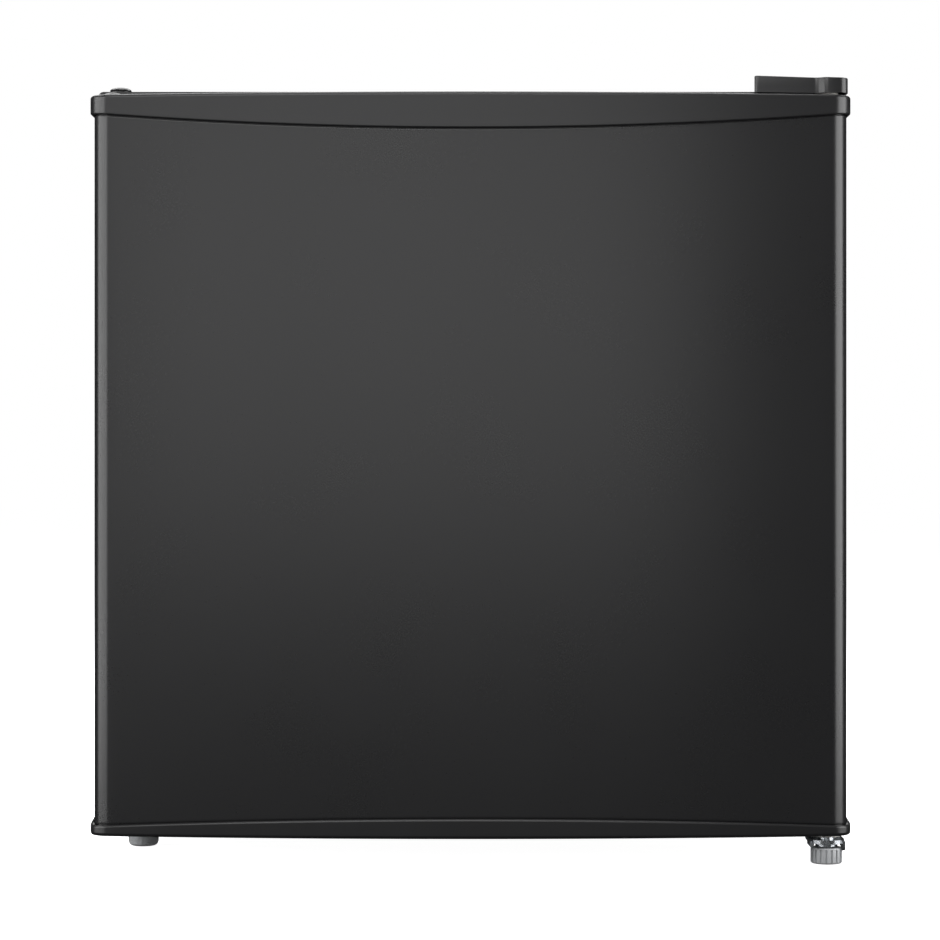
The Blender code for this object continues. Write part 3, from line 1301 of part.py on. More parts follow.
def build_fridge():
    """Clear the scene and build every piece with its material."""
    for piece in list(bpy.data.objects):
        bpy.data.objects.remove(piece, do_unlink=True)
    paint = make_material("black_paint", "2b2b2c", 0.42)
    cap_plastic = make_material("black_cap_plastic", "2a2a2b", 0.35)
    plastic = make_material("black_plastic", "1d1d1e", 0.5)
    foam = make_material("polyurethane_foam", "e3cf94", 0.95)
    liner = make_material("white_liner", "eceeee", 0.35)
    seal = make_material("gasket_vinyl", "3a3a3b", 0.6)
    zinc = make_material("zinc_plate", "b9bcbe", 0.35, 1.0)
    rubber = make_material("rubber", "1a1a1a", 0.85)
    foot_plastic = make_material("grey_foot_plastic", "a9abac", 0.5)
    bush_plastic = make_material("natural_nylon", "e8e6df", 0.45)
    clear_plastic = make_material("ice_plastic", "dfe9ee", 0.2)
    aluminium = make_material("roll_bond_aluminium", "c9cccf", 0.45, 1.0)
    glass = make_material("shelf_glass", "d7e6e0", 0.05)
    black_steel = make_material("compressor_black", "161616", 0.35)
    copper = make_material("copper", "b87350", 0.35, 1.0)

    build_cabinet(paint, plastic, foam, liner, zinc, rubber)
    build_upper_hinge(zinc, plastic)
    build_lower_hinge(zinc, foot_plastic)
    build_door(paint, cap_plastic, foam, liner, seal, bush_plastic, clear_plastic)
    build_freezer(aluminium, liner, clear_plastic)
    build_interior(glass, liner, liner, foot_plastic)
    build_compressor(black_steel, rubber, zinc, plastic)
    build_cooling_circuit(black_steel, copper, plastic)


build_fridge()
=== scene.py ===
"""Table-top mini fridge with a bowed black door: fine pieces, finishes, light and camera."""

import json
import logging
import math
from dataclasses import dataclass
from enum import Enum
from typing import Callable, Iterable, Mapping

import bmesh
import bpy
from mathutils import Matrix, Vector


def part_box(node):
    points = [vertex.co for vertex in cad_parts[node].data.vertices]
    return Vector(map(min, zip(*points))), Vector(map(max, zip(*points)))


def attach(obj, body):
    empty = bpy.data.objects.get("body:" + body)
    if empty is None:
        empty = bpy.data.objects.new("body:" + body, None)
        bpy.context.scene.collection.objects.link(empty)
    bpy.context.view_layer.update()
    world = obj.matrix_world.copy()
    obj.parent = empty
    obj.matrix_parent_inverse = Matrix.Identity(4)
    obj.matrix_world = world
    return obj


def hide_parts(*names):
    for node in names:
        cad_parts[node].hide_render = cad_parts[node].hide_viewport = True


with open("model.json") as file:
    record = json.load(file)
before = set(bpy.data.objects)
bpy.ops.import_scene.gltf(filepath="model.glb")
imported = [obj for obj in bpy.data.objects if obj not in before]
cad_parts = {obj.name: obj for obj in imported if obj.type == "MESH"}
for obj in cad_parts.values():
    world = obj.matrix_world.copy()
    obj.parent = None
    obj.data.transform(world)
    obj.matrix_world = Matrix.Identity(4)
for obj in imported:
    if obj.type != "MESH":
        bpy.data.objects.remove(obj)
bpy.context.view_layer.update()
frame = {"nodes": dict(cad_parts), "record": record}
MM = 0.001
LOG = logging.getLogger("mini_fridge")
Place = Callable[[Vector], bool]


class Kind(Enum):
    """What a step selects."""

    VERT = "VERT"
    EDGE = "EDGE"
    FACE = "FACE"


class Axis(Enum):
    """Turn that lays a Z-built round shape along an axis."""

    X = (0, math.pi / 2, 0)
    Y = (-math.pi / 2, 0, 0)
    Z = (0, 0, 0)


class Texture(Enum):
    """How a surface was made, which sets its fine relief."""

    PEEL = "sprayed or coil-coated paint"
    SPARK = "moulded in a spark-eroded tool"
    GLOSS = "moulded or formed in a polished tool"
    ROLLED = "rolled or drawn metal"
    SPANGLE = "hot-dip zinc crystals"
    CELLS = "foamed in place"


# --- Node helpers -----------------------------------------------------------------------------


def linear(hex_colour: str) -> tuple[float, float, float, float]:
    """Turn an sRGB hex colour to linear light.

    Args:
        hex_colour: six hex digits.

    Returns:
        Linear red, green, blue and an alpha of 1.
    """
    values = [int(hex_colour[i : i + 2], 16) / 255 for i in (0, 2, 4)]
    red, green, blue = [v / 12.92 if v <= 0.04045 else ((v + 0.055) / 1.055) ** 2.4 for v in values]
    return red, green, blue, 1.0


def add_node(
    tree: bpy.types.NodeTree, kind: str, inputs: Mapping | None = None, **settings: object
) -> bpy.types.Node:
    """Add a node with its settings, values and links.

    Args:
        tree: the node tree.
        kind: the node's type.
        inputs: a value, or an output to link, for each input by name or number.
        settings: the node's own properties.

    Returns:
        The new node.
    """
    node = tree.nodes.new(kind)
    for key, value in settings.items():
        setattr(node, key, value)
    for key, value in (inputs or {}).items():
        if isinstance(value, bpy.types.NodeSocket):
            tree.links.new(value, node.inputs[key])
        else:
            node.inputs[key].default_value = value
    return node


@dataclass(frozen=True)
class Finish:
    """A real surface: its material, how it was made, and what that gives the eye."""

    name: str
    texture: Texture
    colour: str
    drift: str  # second colour that the first drifts to
    drift_mm: float  # size of the drifting patches
    roughness: tuple[float, float]
    grain_mm: float = 1.0
    relief_mm: float = 0.01
    metallic: float = 0.0
    ior: float = 1.5
    coat: float = 0.0
    coat_roughness: float = 0.1
    transmission: float = 0.0
    sheen: float = 0.0
    speck: str = ""  # colour of fine specks, if any
    brushed: tuple[float, float, float] = (1.0, 1.0, 1.0)

    def material(self) -> bpy.types.Material:
        """Give the material, built on first use.

        Returns:
            The material.
        """
        made = bpy.data.materials.get(self.name)
        if made:
            return made
        made = bpy.data.materials.new(self.name)
        made.use_nodes = True
        made.diffuse_color = linear(self.colour)
        tree = made.node_tree
        shader = tree.nodes["Principled BSDF"]
        for socket, value in {
            "Metallic": self.metallic,
            "IOR": self.ior,
            "Coat Weight": self.coat,
            "Coat Roughness": self.coat_roughness,
            "Transmission Weight": self.transmission,
            "Sheen Weight": self.sheen,
        }.items():
            shader.inputs[socket].default_value = value
        place = add_node(tree, "ShaderNodeTexCoord").outputs["Object"]
        patches = self._noise(tree, place, self.drift_mm, 3.0)
        tone = add_node(
            tree,
            "ShaderNodeMix",
            {0: patches, 6: linear(self.colour), 7: linear(self.drift)},
            data_type="RGBA",
        ).outputs[2]
        grain, share = self._grain(tree, place)
        if share:
            tone = add_node(
                tree,
                "ShaderNodeMix",
                {0: share, 6: tone, 7: linear(self.speck or self.drift)},
                data_type="RGBA",
            ).outputs[2]
        tree.links.new(tone, shader.inputs["Base Color"])
        worn = add_node(tree, "ShaderNodeMath", {0: patches, 1: grain}, operation="ADD").outputs[0]
        spread = add_node(
            tree,
            "ShaderNodeMapRange",
            {0: worn, 1: 0.6, 2: 1.4, 3: self.roughness[0], 4: self.roughness[1]},
        ).outputs[0]
        tree.links.new(spread, shader.inputs["Roughness"])
        bump = add_node(
            tree, "ShaderNodeBump", {"Strength": 1.0, "Distance": self.relief_mm * MM, "Height": grain}
        ).outputs[0]
        tree.links.new(bump, shader.inputs["Normal"])
        return made

    @staticmethod
    def _noise(
        tree: bpy.types.NodeTree, place: bpy.types.NodeSocket, size_mm: float, detail: float
    ) -> bpy.types.NodeSocket:
        """Add a noise with patches of a size.

        Args:
            tree: the node tree.
            place: the coordinates.
            size_mm: size of its patches.
            detail: octaves of finer noise.

        Returns:
            The noise's value, 0 to 1.
        """
        return add_node(
            tree, "ShaderNodeTexNoise", {"Vector": place, "Scale": 1 / (size_mm * MM), "Detail": detail}
        ).outputs["Fac"]

    def _grain(
        self, tree: bpy.types.NodeTree, place: bpy.types.NodeSocket
    ) -> tuple[bpy.types.NodeSocket, bpy.types.NodeSocket | None]:
        """Add the fine relief that the making leaves.

        Args:
            tree: the node tree.
            place: the coordinates.

        Returns:
            The relief's height, and the share of the second tint that goes with it, if any.
        """
        stretched = add_node(tree, "ShaderNodeMapping", {"Vector": place, "Scale": self.brushed}).outputs[0]
        scale = 1 / (self.grain_mm * MM)
        if self.texture is Texture.SPANGLE:
            crystal = add_node(tree, "ShaderNodeTexVoronoi", {"Vector": place, "Scale": scale})
            tint = add_node(tree, "ShaderNodeSeparateColor", {0: crystal.outputs["Color"]}).outputs[0]
            return tint, tint
        if self.texture is Texture.CELLS:
            cell = add_node(tree, "ShaderNodeTexVoronoi", {"Vector": place, "Scale": scale})
            return cell.outputs["Distance"], cell.outputs["Distance"]
        detail = {Texture.PEEL: 1.0, Texture.SPARK: 4.0, Texture.ROLLED: 5.0, Texture.GLOSS: 0.0}
        height = self._noise(tree, stretched, self.grain_mm, detail[self.texture])
        if not self.speck:
            return height, None
        dots = add_node(tree, "ShaderNodeMapRange", {0: height, 1: 0.62, 2: 0.72, 3: 0.0, 4: 1.0})
        return height, dots.outputs[0]


# --- Modelling --------------------------------------------------------------------------------


def put_down() -> None:
    """Leave edit mode and deselect everything."""
    if bpy.context.mode != "OBJECT":
        bpy.ops.object.mode_set(mode="OBJECT")
    bpy.ops.object.select_all(action="DESELECT")


def mid(edge: bmesh.types.BMEdge) -> Vector:
    """The middle of an edge."""
    return (edge.verts[0].co + edge.verts[1].co) / 2


class Piece:
    """A mesh on the bench, shaped in edit mode with Blender's own operators."""

    def __init__(self, name: str) -> None:
        """Take up the primitive that was just added.

        Args:
            name: the piece's name.
        """
        self.object = bpy.context.active_object
        self.object.name = name
        self.object.data.name = name
        bpy.ops.object.transform_apply(location=True, rotation=True, scale=True)
        bpy.ops.object.mode_set(mode="EDIT")
        bpy.ops.mesh.select_mode(type="VERT")
        bpy.ops.mesh.select_all(action="SELECT")

    @classmethod
    def block(cls, name: str, low: Iterable[float], high: Iterable[float]) -> "Piece":
        """Start from a cube stretched between two corners.

        Args:
            name: the piece's name.
            low: the low corner.
            high: the high corner.

        Returns:
            The piece.
        """
        low, high = Vector(low), Vector(high)
        put_down()
        bpy.ops.mesh.primitive_cube_add(size=1, location=(low + high) / 2, scale=high - low)
        return cls(name)

    @classmethod
    def drum(
        cls, name: str, centre: Iterable[float], radius: float, length: float,
        axis: Axis = Axis.Z, sides: int = 48,
    ) -> "Piece":
        """Start from a cylinder centred on a point.

        Args:
            name: the piece's name.
            centre: its middle.
            radius: its radius.
            length: its length.
            axis: its axis.
            sides: number of sides.

        Returns:
            The piece.
        """
        put_down()
        bpy.ops.mesh.primitive_cylinder_add(
            vertices=sides, radius=radius, depth=length, location=Vector(centre), rotation=axis.value
        )
        return cls(name)

    @classmethod
    def line(cls, name: str, points: Iterable[Iterable[float]], closed: bool = False) -> "Piece":
        """Start from one vertex and extrude it from point to point.

        Args:
            name: the piece's name.
            points: the points.
            closed: whether an edge joins the last point to the first.

        Returns:
            The piece, all selected.
        """
        route = [Vector(point) for point in points]
        put_down()
        bpy.ops.mesh.primitive_plane_add(size=MM, location=route[0])
        piece = cls(name)
        bpy.ops.mesh.merge(type="CENTER")
        for before, after in zip(route, route[1:]):
            bpy.ops.mesh.extrude_vertices_move(TRANSFORM_OT_translate={"value": after - before})
        if closed:
            ends = (route[0], route[-1])
            piece.pick(lambda co: min((co - end).length for end in ends) < 1e-6, Kind.VERT)
            bpy.ops.mesh.edge_face_add()
        bpy.ops.mesh.select_all(action="SELECT")
        return piece

    @classmethod
    def prism(cls, name: str, points: Iterable[Iterable[float]], travel: Iterable[float]) -> "Piece":
        """Fill a closed outline and extrude it.

        Args:
            name: the piece's name.
            points: the outline.
            travel: how far and which way it is extruded.

        Returns:
            The piece.
        """
        piece = cls.line(name, points, closed=True)
        bpy.ops.mesh.edge_face_add()
        return piece.extrude(travel)

    @classmethod
    def turned(
        cls, name: str, profile: Iterable[tuple[float, float]], centre: Iterable[float],
        axis: Axis = Axis.Z, steps: int = 48, closed: bool = False,
    ) -> "Piece":
        """Spin a profile of (radius, height) points about an axis through a centre.

        Args:
            name: the piece's name.
            profile: the points, in metres.
            centre: where height 0 lies on the axis.
            axis: the axis.
            steps: steps in the full turn.
            closed: whether the profile is a ring that doesn't reach the axis.

        Returns:
            The piece, closed.
        """
        middle = Vector(centre)
        out, up = {
            Axis.X: (Vector((0, 0, -1)), Vector((1, 0, 0))),
            Axis.Y: (Vector((1, 0, 0)), Vector((0, 1, 0))),
            Axis.Z: (Vector((1, 0, 0)), Vector((0, 0, 1))),
        }[axis]
        piece = cls.line(name, [middle + out * radius + up * height for radius, height in profile], closed)
        piece.spin(steps, 2 * math.pi, middle, up)
        bpy.ops.mesh.select_all(action="SELECT")
        bpy.ops.mesh.remove_doubles(threshold=1e-6)
        return piece

    @classmethod
    def ring(
        cls, name: str, section: Iterable[tuple[float, float]], low: Vector, high: Vector, radius: float,
        steps: int = 8,
    ) -> "Piece":
        """Carry a closed section round an upright rounded rectangle.

        Args:
            name: the piece's name.
            section: its (inset, y) points, inset from the rectangle.
            low: the rectangle's low corner.
            high: its high corner.
            radius: its corner radius, larger than any inset.
            steps: steps in each corner.

        Returns:
            The piece, closed.
        """
        middle = (low.z + high.z) / 2
        piece = cls.line(name, [(high.x - inset, y, middle) for inset, y in section], closed=True)
        tall, wide = (high.z - low.z) / 2 - radius, high.x - low.x - 2 * radius
        moves = ((0, tall), (-wide, 0), (0, -2 * tall), (wide, 0), (0, tall))
        centres = (
            (high.x, high.z, -1, -1), (low.x, high.z, 1, -1), (low.x, low.z, 1, 1), (high.x, low.z, -1, 1),
        )
        for number, (across, up) in enumerate(moves):
            piece.extrude((across, 0, up))
            if number < 4:
                x, z, way_x, way_z = centres[number]
                piece.spin(steps, math.pi / 2, (x + way_x * radius, 0, z + way_z * radius), (0, -1, 0))
        bpy.ops.mesh.select_all(action="SELECT")
        bpy.ops.mesh.remove_doubles(threshold=1e-6)
        return piece

    @classmethod
    def tube(cls, name: str, points: Iterable[Iterable[float]], radius: float) -> "Piece":
        """Bend a round bar along a route.

        Args:
            name: the piece's name.
            points: the route of its middle line.
            radius: the bar's radius.

        Returns:
            The piece.
        """
        cls.line(name, points)
        put_down()
        route = bpy.data.objects[name]
        route.select_set(True)
        bpy.context.view_layer.objects.active = route
        bpy.ops.object.convert(target="CURVE")
        route = bpy.context.active_object
        route.data.bevel_depth = radius
        route.data.bevel_resolution = 3
        route.data.use_fill_caps = True
        bpy.ops.object.convert(target="MESH")
        return cls(name)

    def _take(self, kind: Kind, chosen: Callable[[object], bool]) -> "Piece":
        """Select the elements of a kind that pass a test, and nothing else.

        Args:
            kind: what is selected.
            chosen: says whether an element is taken.

        Returns:
            The piece.
        """
        bpy.ops.mesh.select_mode(type=kind.value)
        bpy.ops.mesh.select_all(action="DESELECT")
        mesh = bmesh.from_edit_mesh(self.object.data)
        elements = {Kind.VERT: mesh.verts, Kind.EDGE: mesh.edges, Kind.FACE: mesh.faces}[kind]
        for item in [element for element in elements if chosen(element)]:
            item.select_set(True)
        bmesh.update_edit_mesh(self.object.data)
        return self

    def pick(self, where: Place, kind: Kind = Kind.FACE, rim: bool = False) -> "Piece":
        """Select by the place of a vertex or of the middle of an edge or a face.

        Args:
            where: says whether a place is taken.
            kind: what is selected.
            rim: whether only edges with an open side are taken.

        Returns:
            The piece.
        """
        if kind is Kind.VERT:
            return self._take(kind, lambda vert: where(vert.co))
        if kind is Kind.FACE:
            return self._take(kind, lambda face: where(face.calc_center_median()))
        return self._take(kind, lambda edge: (not rim or len(edge.link_faces) < 2) and where(mid(edge)))

    def pick_facing(self, way: Iterable[float], where: Place = lambda co: True) -> "Piece":
        """Select the faces that look a way.

        Args:
            way: the way.
            where: says whether a face's middle is taken.

        Returns:
            The piece.
        """
        ahead = Vector(way)
        return self._take(
            Kind.FACE, lambda face: face.normal.dot(ahead) > 0.95 and where(face.calc_center_median())
        )

    def pick_along(self, way: Iterable[float], where: Place = lambda co: True) -> "Piece":
        """Select the edges that run along a way.

        Args:
            way: the way.
            where: says whether an edge's middle is taken.

        Returns:
            The piece.
        """
        ahead = Vector(way)

        def along(edge: bmesh.types.BMEdge) -> bool:
            """Whether an edge runs along the way, at a place that is taken."""
            run = edge.verts[1].co - edge.verts[0].co
            return abs(run.normalized().dot(ahead)) > 0.99 and where(mid(edge))

        return self._take(Kind.EDGE, along)

    def extrude(self, travel: Iterable[float]) -> "Piece":
        """Extrude what is selected."""
        bpy.ops.mesh.extrude_region_move(TRANSFORM_OT_translate={"value": Vector(travel)})
        return self

    def swell(self, height: float) -> "Piece":
        """Extrude the selected faces along their normals."""
        bpy.ops.mesh.extrude_region_shrink_fatten(TRANSFORM_OT_shrink_fatten={"value": height})
        return self

    def inset(self, width: float, height: float = 0.0) -> "Piece":
        """Inset the selected faces, and raise or sink what is inside."""
        bpy.ops.mesh.inset(thickness=width, depth=height)
        return self

    def bevel(self, width: float, segments: int = 3) -> "Piece":
        """Round the selected edges."""
        bpy.ops.mesh.bevel(offset=width, segments=segments, profile=0.5, affect="EDGES")
        return self

    def spin(self, steps: int, angle: float, centre: Iterable[float], axis: Iterable[float]) -> "Piece":
        """Spin what is selected, left-handed about the axis as the operator takes it."""
        bpy.ops.mesh.spin(steps=steps, angle=-angle, center=Vector(centre), axis=Vector(axis))
        return self

    def repeat(self, step: Iterable[float], count: int) -> "Piece":
        """Copy what is selected, step after step, to a number in all."""
        for _ in range(count - 1):
            bpy.ops.mesh.duplicate_move(TRANSFORM_OT_translate={"value": Vector(step)})
        return self

    def fill(self, where: Place) -> "Piece":
        """Close an opening whose open edges lie at a place.

        Args:
            where: says whether an edge's middle is taken.

        Returns:
            The piece.
        """
        self.pick(where, Kind.EDGE, rim=True)
        bpy.ops.mesh.edge_face_add()
        return self

    def warp(self, by: Callable[[Vector], Vector], where: Place = lambda co: True) -> "Piece":
        """Move each vertex at a place by its own amount.

        Args:
            by: gives the move for a place.
            where: says whether a vertex is moved.

        Returns:
            The piece.
        """
        mesh = bmesh.from_edit_mesh(self.object.data)
        for vert in mesh.verts:
            if where(vert.co):
                vert.co += by(vert.co)
        bmesh.update_edit_mesh(self.object.data)
        return self

    def take_up(self) -> "Piece":
        """Put down whatever is held and go back to shaping this piece.

        Returns:
            The piece.
        """
        put_down()
        self.object.select_set(True)
        bpy.context.view_layer.objects.active = self.object
        bpy.ops.object.mode_set(mode="EDIT")
        return self

    def modify(self, kind: str, **settings: object) -> "Piece":
        """Add a modifier and apply it.

        Args:
            kind: the modifier's type.
            settings: its settings.

        Returns:
            The piece.
        """
        self.take_up()
        bpy.ops.object.mode_set(mode="OBJECT")
        modifier = self.object.modifiers.new(kind.lower(), kind)
        for key, value in settings.items():
            setattr(modifier, key, value)
        bpy.ops.object.modifier_apply(modifier=modifier.name)
        bpy.ops.object.mode_set(mode="EDIT")
        return self

    def even(self) -> "Piece":
        """Merge doubles and turn all faces outwards.

        Returns:
            The piece.
        """
        bpy.ops.mesh.select_all(action="SELECT")
        bpy.ops.mesh.remove_doubles(threshold=1e-6)
        bpy.ops.mesh.normals_make_consistent(inside=False)
        return self

    def combine(self, other: "Piece", operation: str = "DIFFERENCE") -> "Piece":
        """Cut away, or join on, another piece, which is used up.

        Args:
            other: the other piece.
            operation: DIFFERENCE to cut away, UNION to join on.

        Returns:
            The piece.
        """
        other.take_up().even()
        self.take_up().even()
        self.modify("BOOLEAN", object=other.object, operation=operation, solver="EXACT")
        bpy.data.objects.remove(other.object)
        return self

    def absorb(self, *others: "Piece") -> "Piece":
        """Take other pieces into this one as they are.

        Args:
            others: the pieces taken in.

        Returns:
            The piece.
        """
        put_down()
        for other in others:
            other.object.select_set(True)
        self.object.select_set(True)
        bpy.context.view_layer.objects.active = self.object
        bpy.ops.object.join()
        bpy.ops.object.mode_set(mode="EDIT")
        return self

    def dress(
        self, body: str, finish: Finish, slot: str, stands_for: Iterable[str] = (), smooth: float = 35.0
    ) -> bpy.types.Object:
        """Finish a piece: face it outwards, shade it, paint it and let it ride.

        Args:
            body: the body that it moves with.
            finish: its finish.
            slot: the record's material slot; not used.
            stands_for: the nodes that it is shown in place of.
            smooth: largest angle in degrees that is shaded smooth.

        Returns:
            The finished object.
        """
        self.take_up().even()
        bpy.ops.object.mode_set(mode="OBJECT")
        bpy.ops.object.shade_smooth_by_angle(angle=math.radians(smooth))
        self.object.data.materials.clear()
        self.object.data.materials.append(finish.material())
        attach(self.object, body)
        if stands_for:
            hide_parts(*stands_for)
        put_down()
        LOG.info("%s: %d faces on %s", self.object.name, len(self.object.data.polygons), body)
        return self.object


def arc(
    centre: tuple[float, float], radius: float, first: float, last: float, steps: int = 4
) -> list[tuple[float, float]]:
    """Points along an arc in a plane.

    Args:
        centre: the arc's centre.
        radius: its radius.
        first: start angle in degrees.
        last: end angle in degrees.
        steps: number of steps.

    Returns:
        The points, both ends included.
    """
    angles = [math.radians(first + (last - first) * step / steps) for step in range(steps + 1)]
    return [(centre[0] + radius * math.cos(a), centre[1] + radius * math.sin(a)) for a in angles]


def dome(radius: float, low: float, high: float) -> list[tuple[float, float]]:
    """Profile of a low dome, from just over its edge to its crown.

    Args:
        radius: its radius.
        low: height of its edge.
        high: height of its crown.

    Returns:
        Its (radius, height) points.
    """
    angles = [math.radians(angle) for angle in range(15, 90, 15)]
    points = [(radius * math.cos(a), low + (high - low) * math.sin(a)) for a in angles]
    return points + [(0, high)]


# --- Finishes ---------------------------------------------------------------------------------

# Coil-coated steel sheet, satin black: a very fine orange peel softens every reflection.
BLACK_SHEET = Finish(
    "coil_coated_black_steel", Texture.PEEL, "19191a", "1b1b1c", 60, (0.27, 0.29), 1.2, 0.0006
)
# Painted steel of the cabinet, embossed with a fine stipple that spreads its reflections.
EMBOSSED_SHEET = Finish(
    "embossed_black_steel", Texture.PEEL, "19191a", "1b1b1c", 60, (0.50, 0.55), 1.2, 0.0006
)
# ABS moulded in a finely eroded tool: a shade lighter and softer than the sheet.
BLACK_CAP = Finish("moulded_black_abs", Texture.SPARK, "1a1a1b", "1c1c1d", 40, (0.28, 0.31), 0.5, 0.0008)
# Polypropylene for hidden and rear parts, with a coarser matt grain.
BLACK_PLASTIC = Finish(
    "grained_black_polypropylene", Texture.SPARK, "161617", "1a1a1b", 20, (0.42, 0.52), 0.6, 0.012
)
# EPDM rubber, dull, with a faint bloom.
RUBBER = Finish("black_epdm_rubber", Texture.SPARK, "121212", "1c1c1c", 8, (0.75, 0.9), 0.4, 0.02, sheen=0.1)
# Hot-dip zinc: leaf-shaped crystals that differ in brightness.
GALVANISED = Finish(
    "hot_dip_galvanised_sheet", Texture.SPANGLE, "a8acae", "9fa4a6", 90, (0.42, 0.48), 8, 0.001,
    metallic=1.0, speck="b1b5b7",
)
# Bright zinc plating over pressed steel: drawn lines and a cool grey.
ZINC = Finish(
    "bright_zinc_plated_steel", Texture.ROLLED, "c4c7ca", "aeb3b8", 6, (0.20, 0.36), 0.5, 0.006,
    metallic=1.0, brushed=(1.0, 0.15, 1.0),
)
# High-impact polystyrene, vacuum formed: a soft sheen and hardly any texture.
LINER = Finish(
    "vacuum_formed_white_polystyrene", Texture.GLOSS, "eceeed", "e6e9e8", 120, (0.28, 0.38), 6, 0.05
)
# Injection-moulded white polystyrene, finely grained.
WHITE_PLASTIC = Finish(
    "moulded_white_polystyrene", Texture.SPARK, "eaecec", "e4e7e7", 50, (0.36, 0.46), 0.6, 0.008
)
# Rigid polyurethane foam with open cut cells.
FOAM = Finish(
    "rigid_polyurethane_foam", Texture.CELLS, "dcc88c", "cfb878", 25, (0.85, 0.98), 1.6, 0.5, speck="c2a962"
)
# Soft PVC of the magnetic seal.
SEAL = Finish("black_gasket_pvc", Texture.GLOSS, "2a2a2b", "303031", 40, (0.45, 0.58), 3, 0.02, sheen=0.05)
# Roll-bonded aluminium, milky from its anodised skin.
ALUMINIUM = Finish(
    "roll_bonded_aluminium", Texture.ROLLED, "c6cacd", "b6bbbf", 35, (0.34, 0.50), 0.8, 0.01,
    metallic=1.0, brushed=(1.0, 0.06, 1.0),
)
# Black enamel on the compressor's deep-drawn shell, glossy with a coarse orange peel.
ENAMEL = Finish(
    "black_stoved_enamel", Texture.PEEL, "101011", "151516", 25, (0.22, 0.34), 2.4, 0.03,
    coat=0.3, coat_roughness=0.12,
)
# Drawn copper tube, browned in patches by brazing heat.
COPPER = Finish(
    "drawn_copper_tube", Texture.ROLLED, "c37b55", "96522f", 14, (0.22, 0.42), 0.7, 0.008, metallic=1.0
)
# Natural nylon of the hinge bushes, slightly waxy.
NYLON = Finish("natural_nylon", Texture.SPARK, "e9e5da", "e0dccf", 9, (0.38, 0.5), 0.5, 0.006)
# Grey polypropylene of the feet and the knob.
GREY_PLASTIC = Finish(
    "moulded_grey_polypropylene", Texture.SPARK, "b4b6b8", "a9abad", 9, (0.42, 0.54), 0.5, 0.01
)
# Clear polystyrene of racks, tray and flap, with a faint ice tint.
ICE_PLASTIC = Finish(
    "clear_polystyrene", Texture.GLOSS, "e2eef4", "d6e6ee", 60, (0.10, 0.18), 5, 0.02,
    ior=1.58, transmission=0.82,
)
# Toughened float glass, green in its depth.
GLASS = Finish(
    "toughened_float_glass", Texture.GLOSS, "dcefe6", "d4eae0", 200, (0.02, 0.04), 40, 0.01,
    ior=1.52, transmission=0.95,
)
# Grey print of the dial's figures on the white housing.
DIAL_PRINT = Finish("grey_screen_print", Texture.SPARK, "55585b", "606366", 3, (0.5, 0.6), 0.3, 0.002)


# --- The door's front -------------------------------------------------------------------------


@dataclass(frozen=True)
class Bow:
    """Plan outline of the door: two round corners joined by one long shallow arc."""

    half: float
    front: float
    back: float
    corner: float = 11 * MM
    rise: float = 14 * MM
    corner_steps: int = 14
    bow_steps: int = 72

    def sweep(
        self, name: str, section: list[tuple[float, float]], closed: bool = False
    ) -> Piece:
        """Carry a cross-section round the outline.

        Args:
            name: the piece's name.
            section: its (inset, height) points, inset from the outline.
            closed: whether the section is a ring.

        Returns:
            The piece, open at its two rear ends.
        """
        chord = self.half - self.corner
        radius = (chord**2 + self.rise**2) / (2 * self.rise)
        centre = self.front + radius
        corner_y = centre - math.sqrt((radius - self.corner) ** 2 - chord**2)
        tangent = math.atan2(corner_y - centre, chord)
        start = [(self.half - inset, self.back, height) for inset, height in section]
        piece = Piece.line(name, start, closed)
        piece.extrude((0, corner_y - self.back, 0))
        piece.spin(self.corner_steps, tangent, (chord, corner_y, 0), (0, 0, 1))
        piece.spin(self.bow_steps, -math.pi - 2 * tangent, (0, centre, 0), (0, 0, 1))
        piece.spin(self.corner_steps, tangent, (-chord, corner_y, 0), (0, 0, 1))
        piece.extrude((0, self.back - corner_y, 0))
        bpy.ops.mesh.select_all(action="SELECT")
        bpy.ops.mesh.remove_doubles(threshold=1e-6)
        return piece


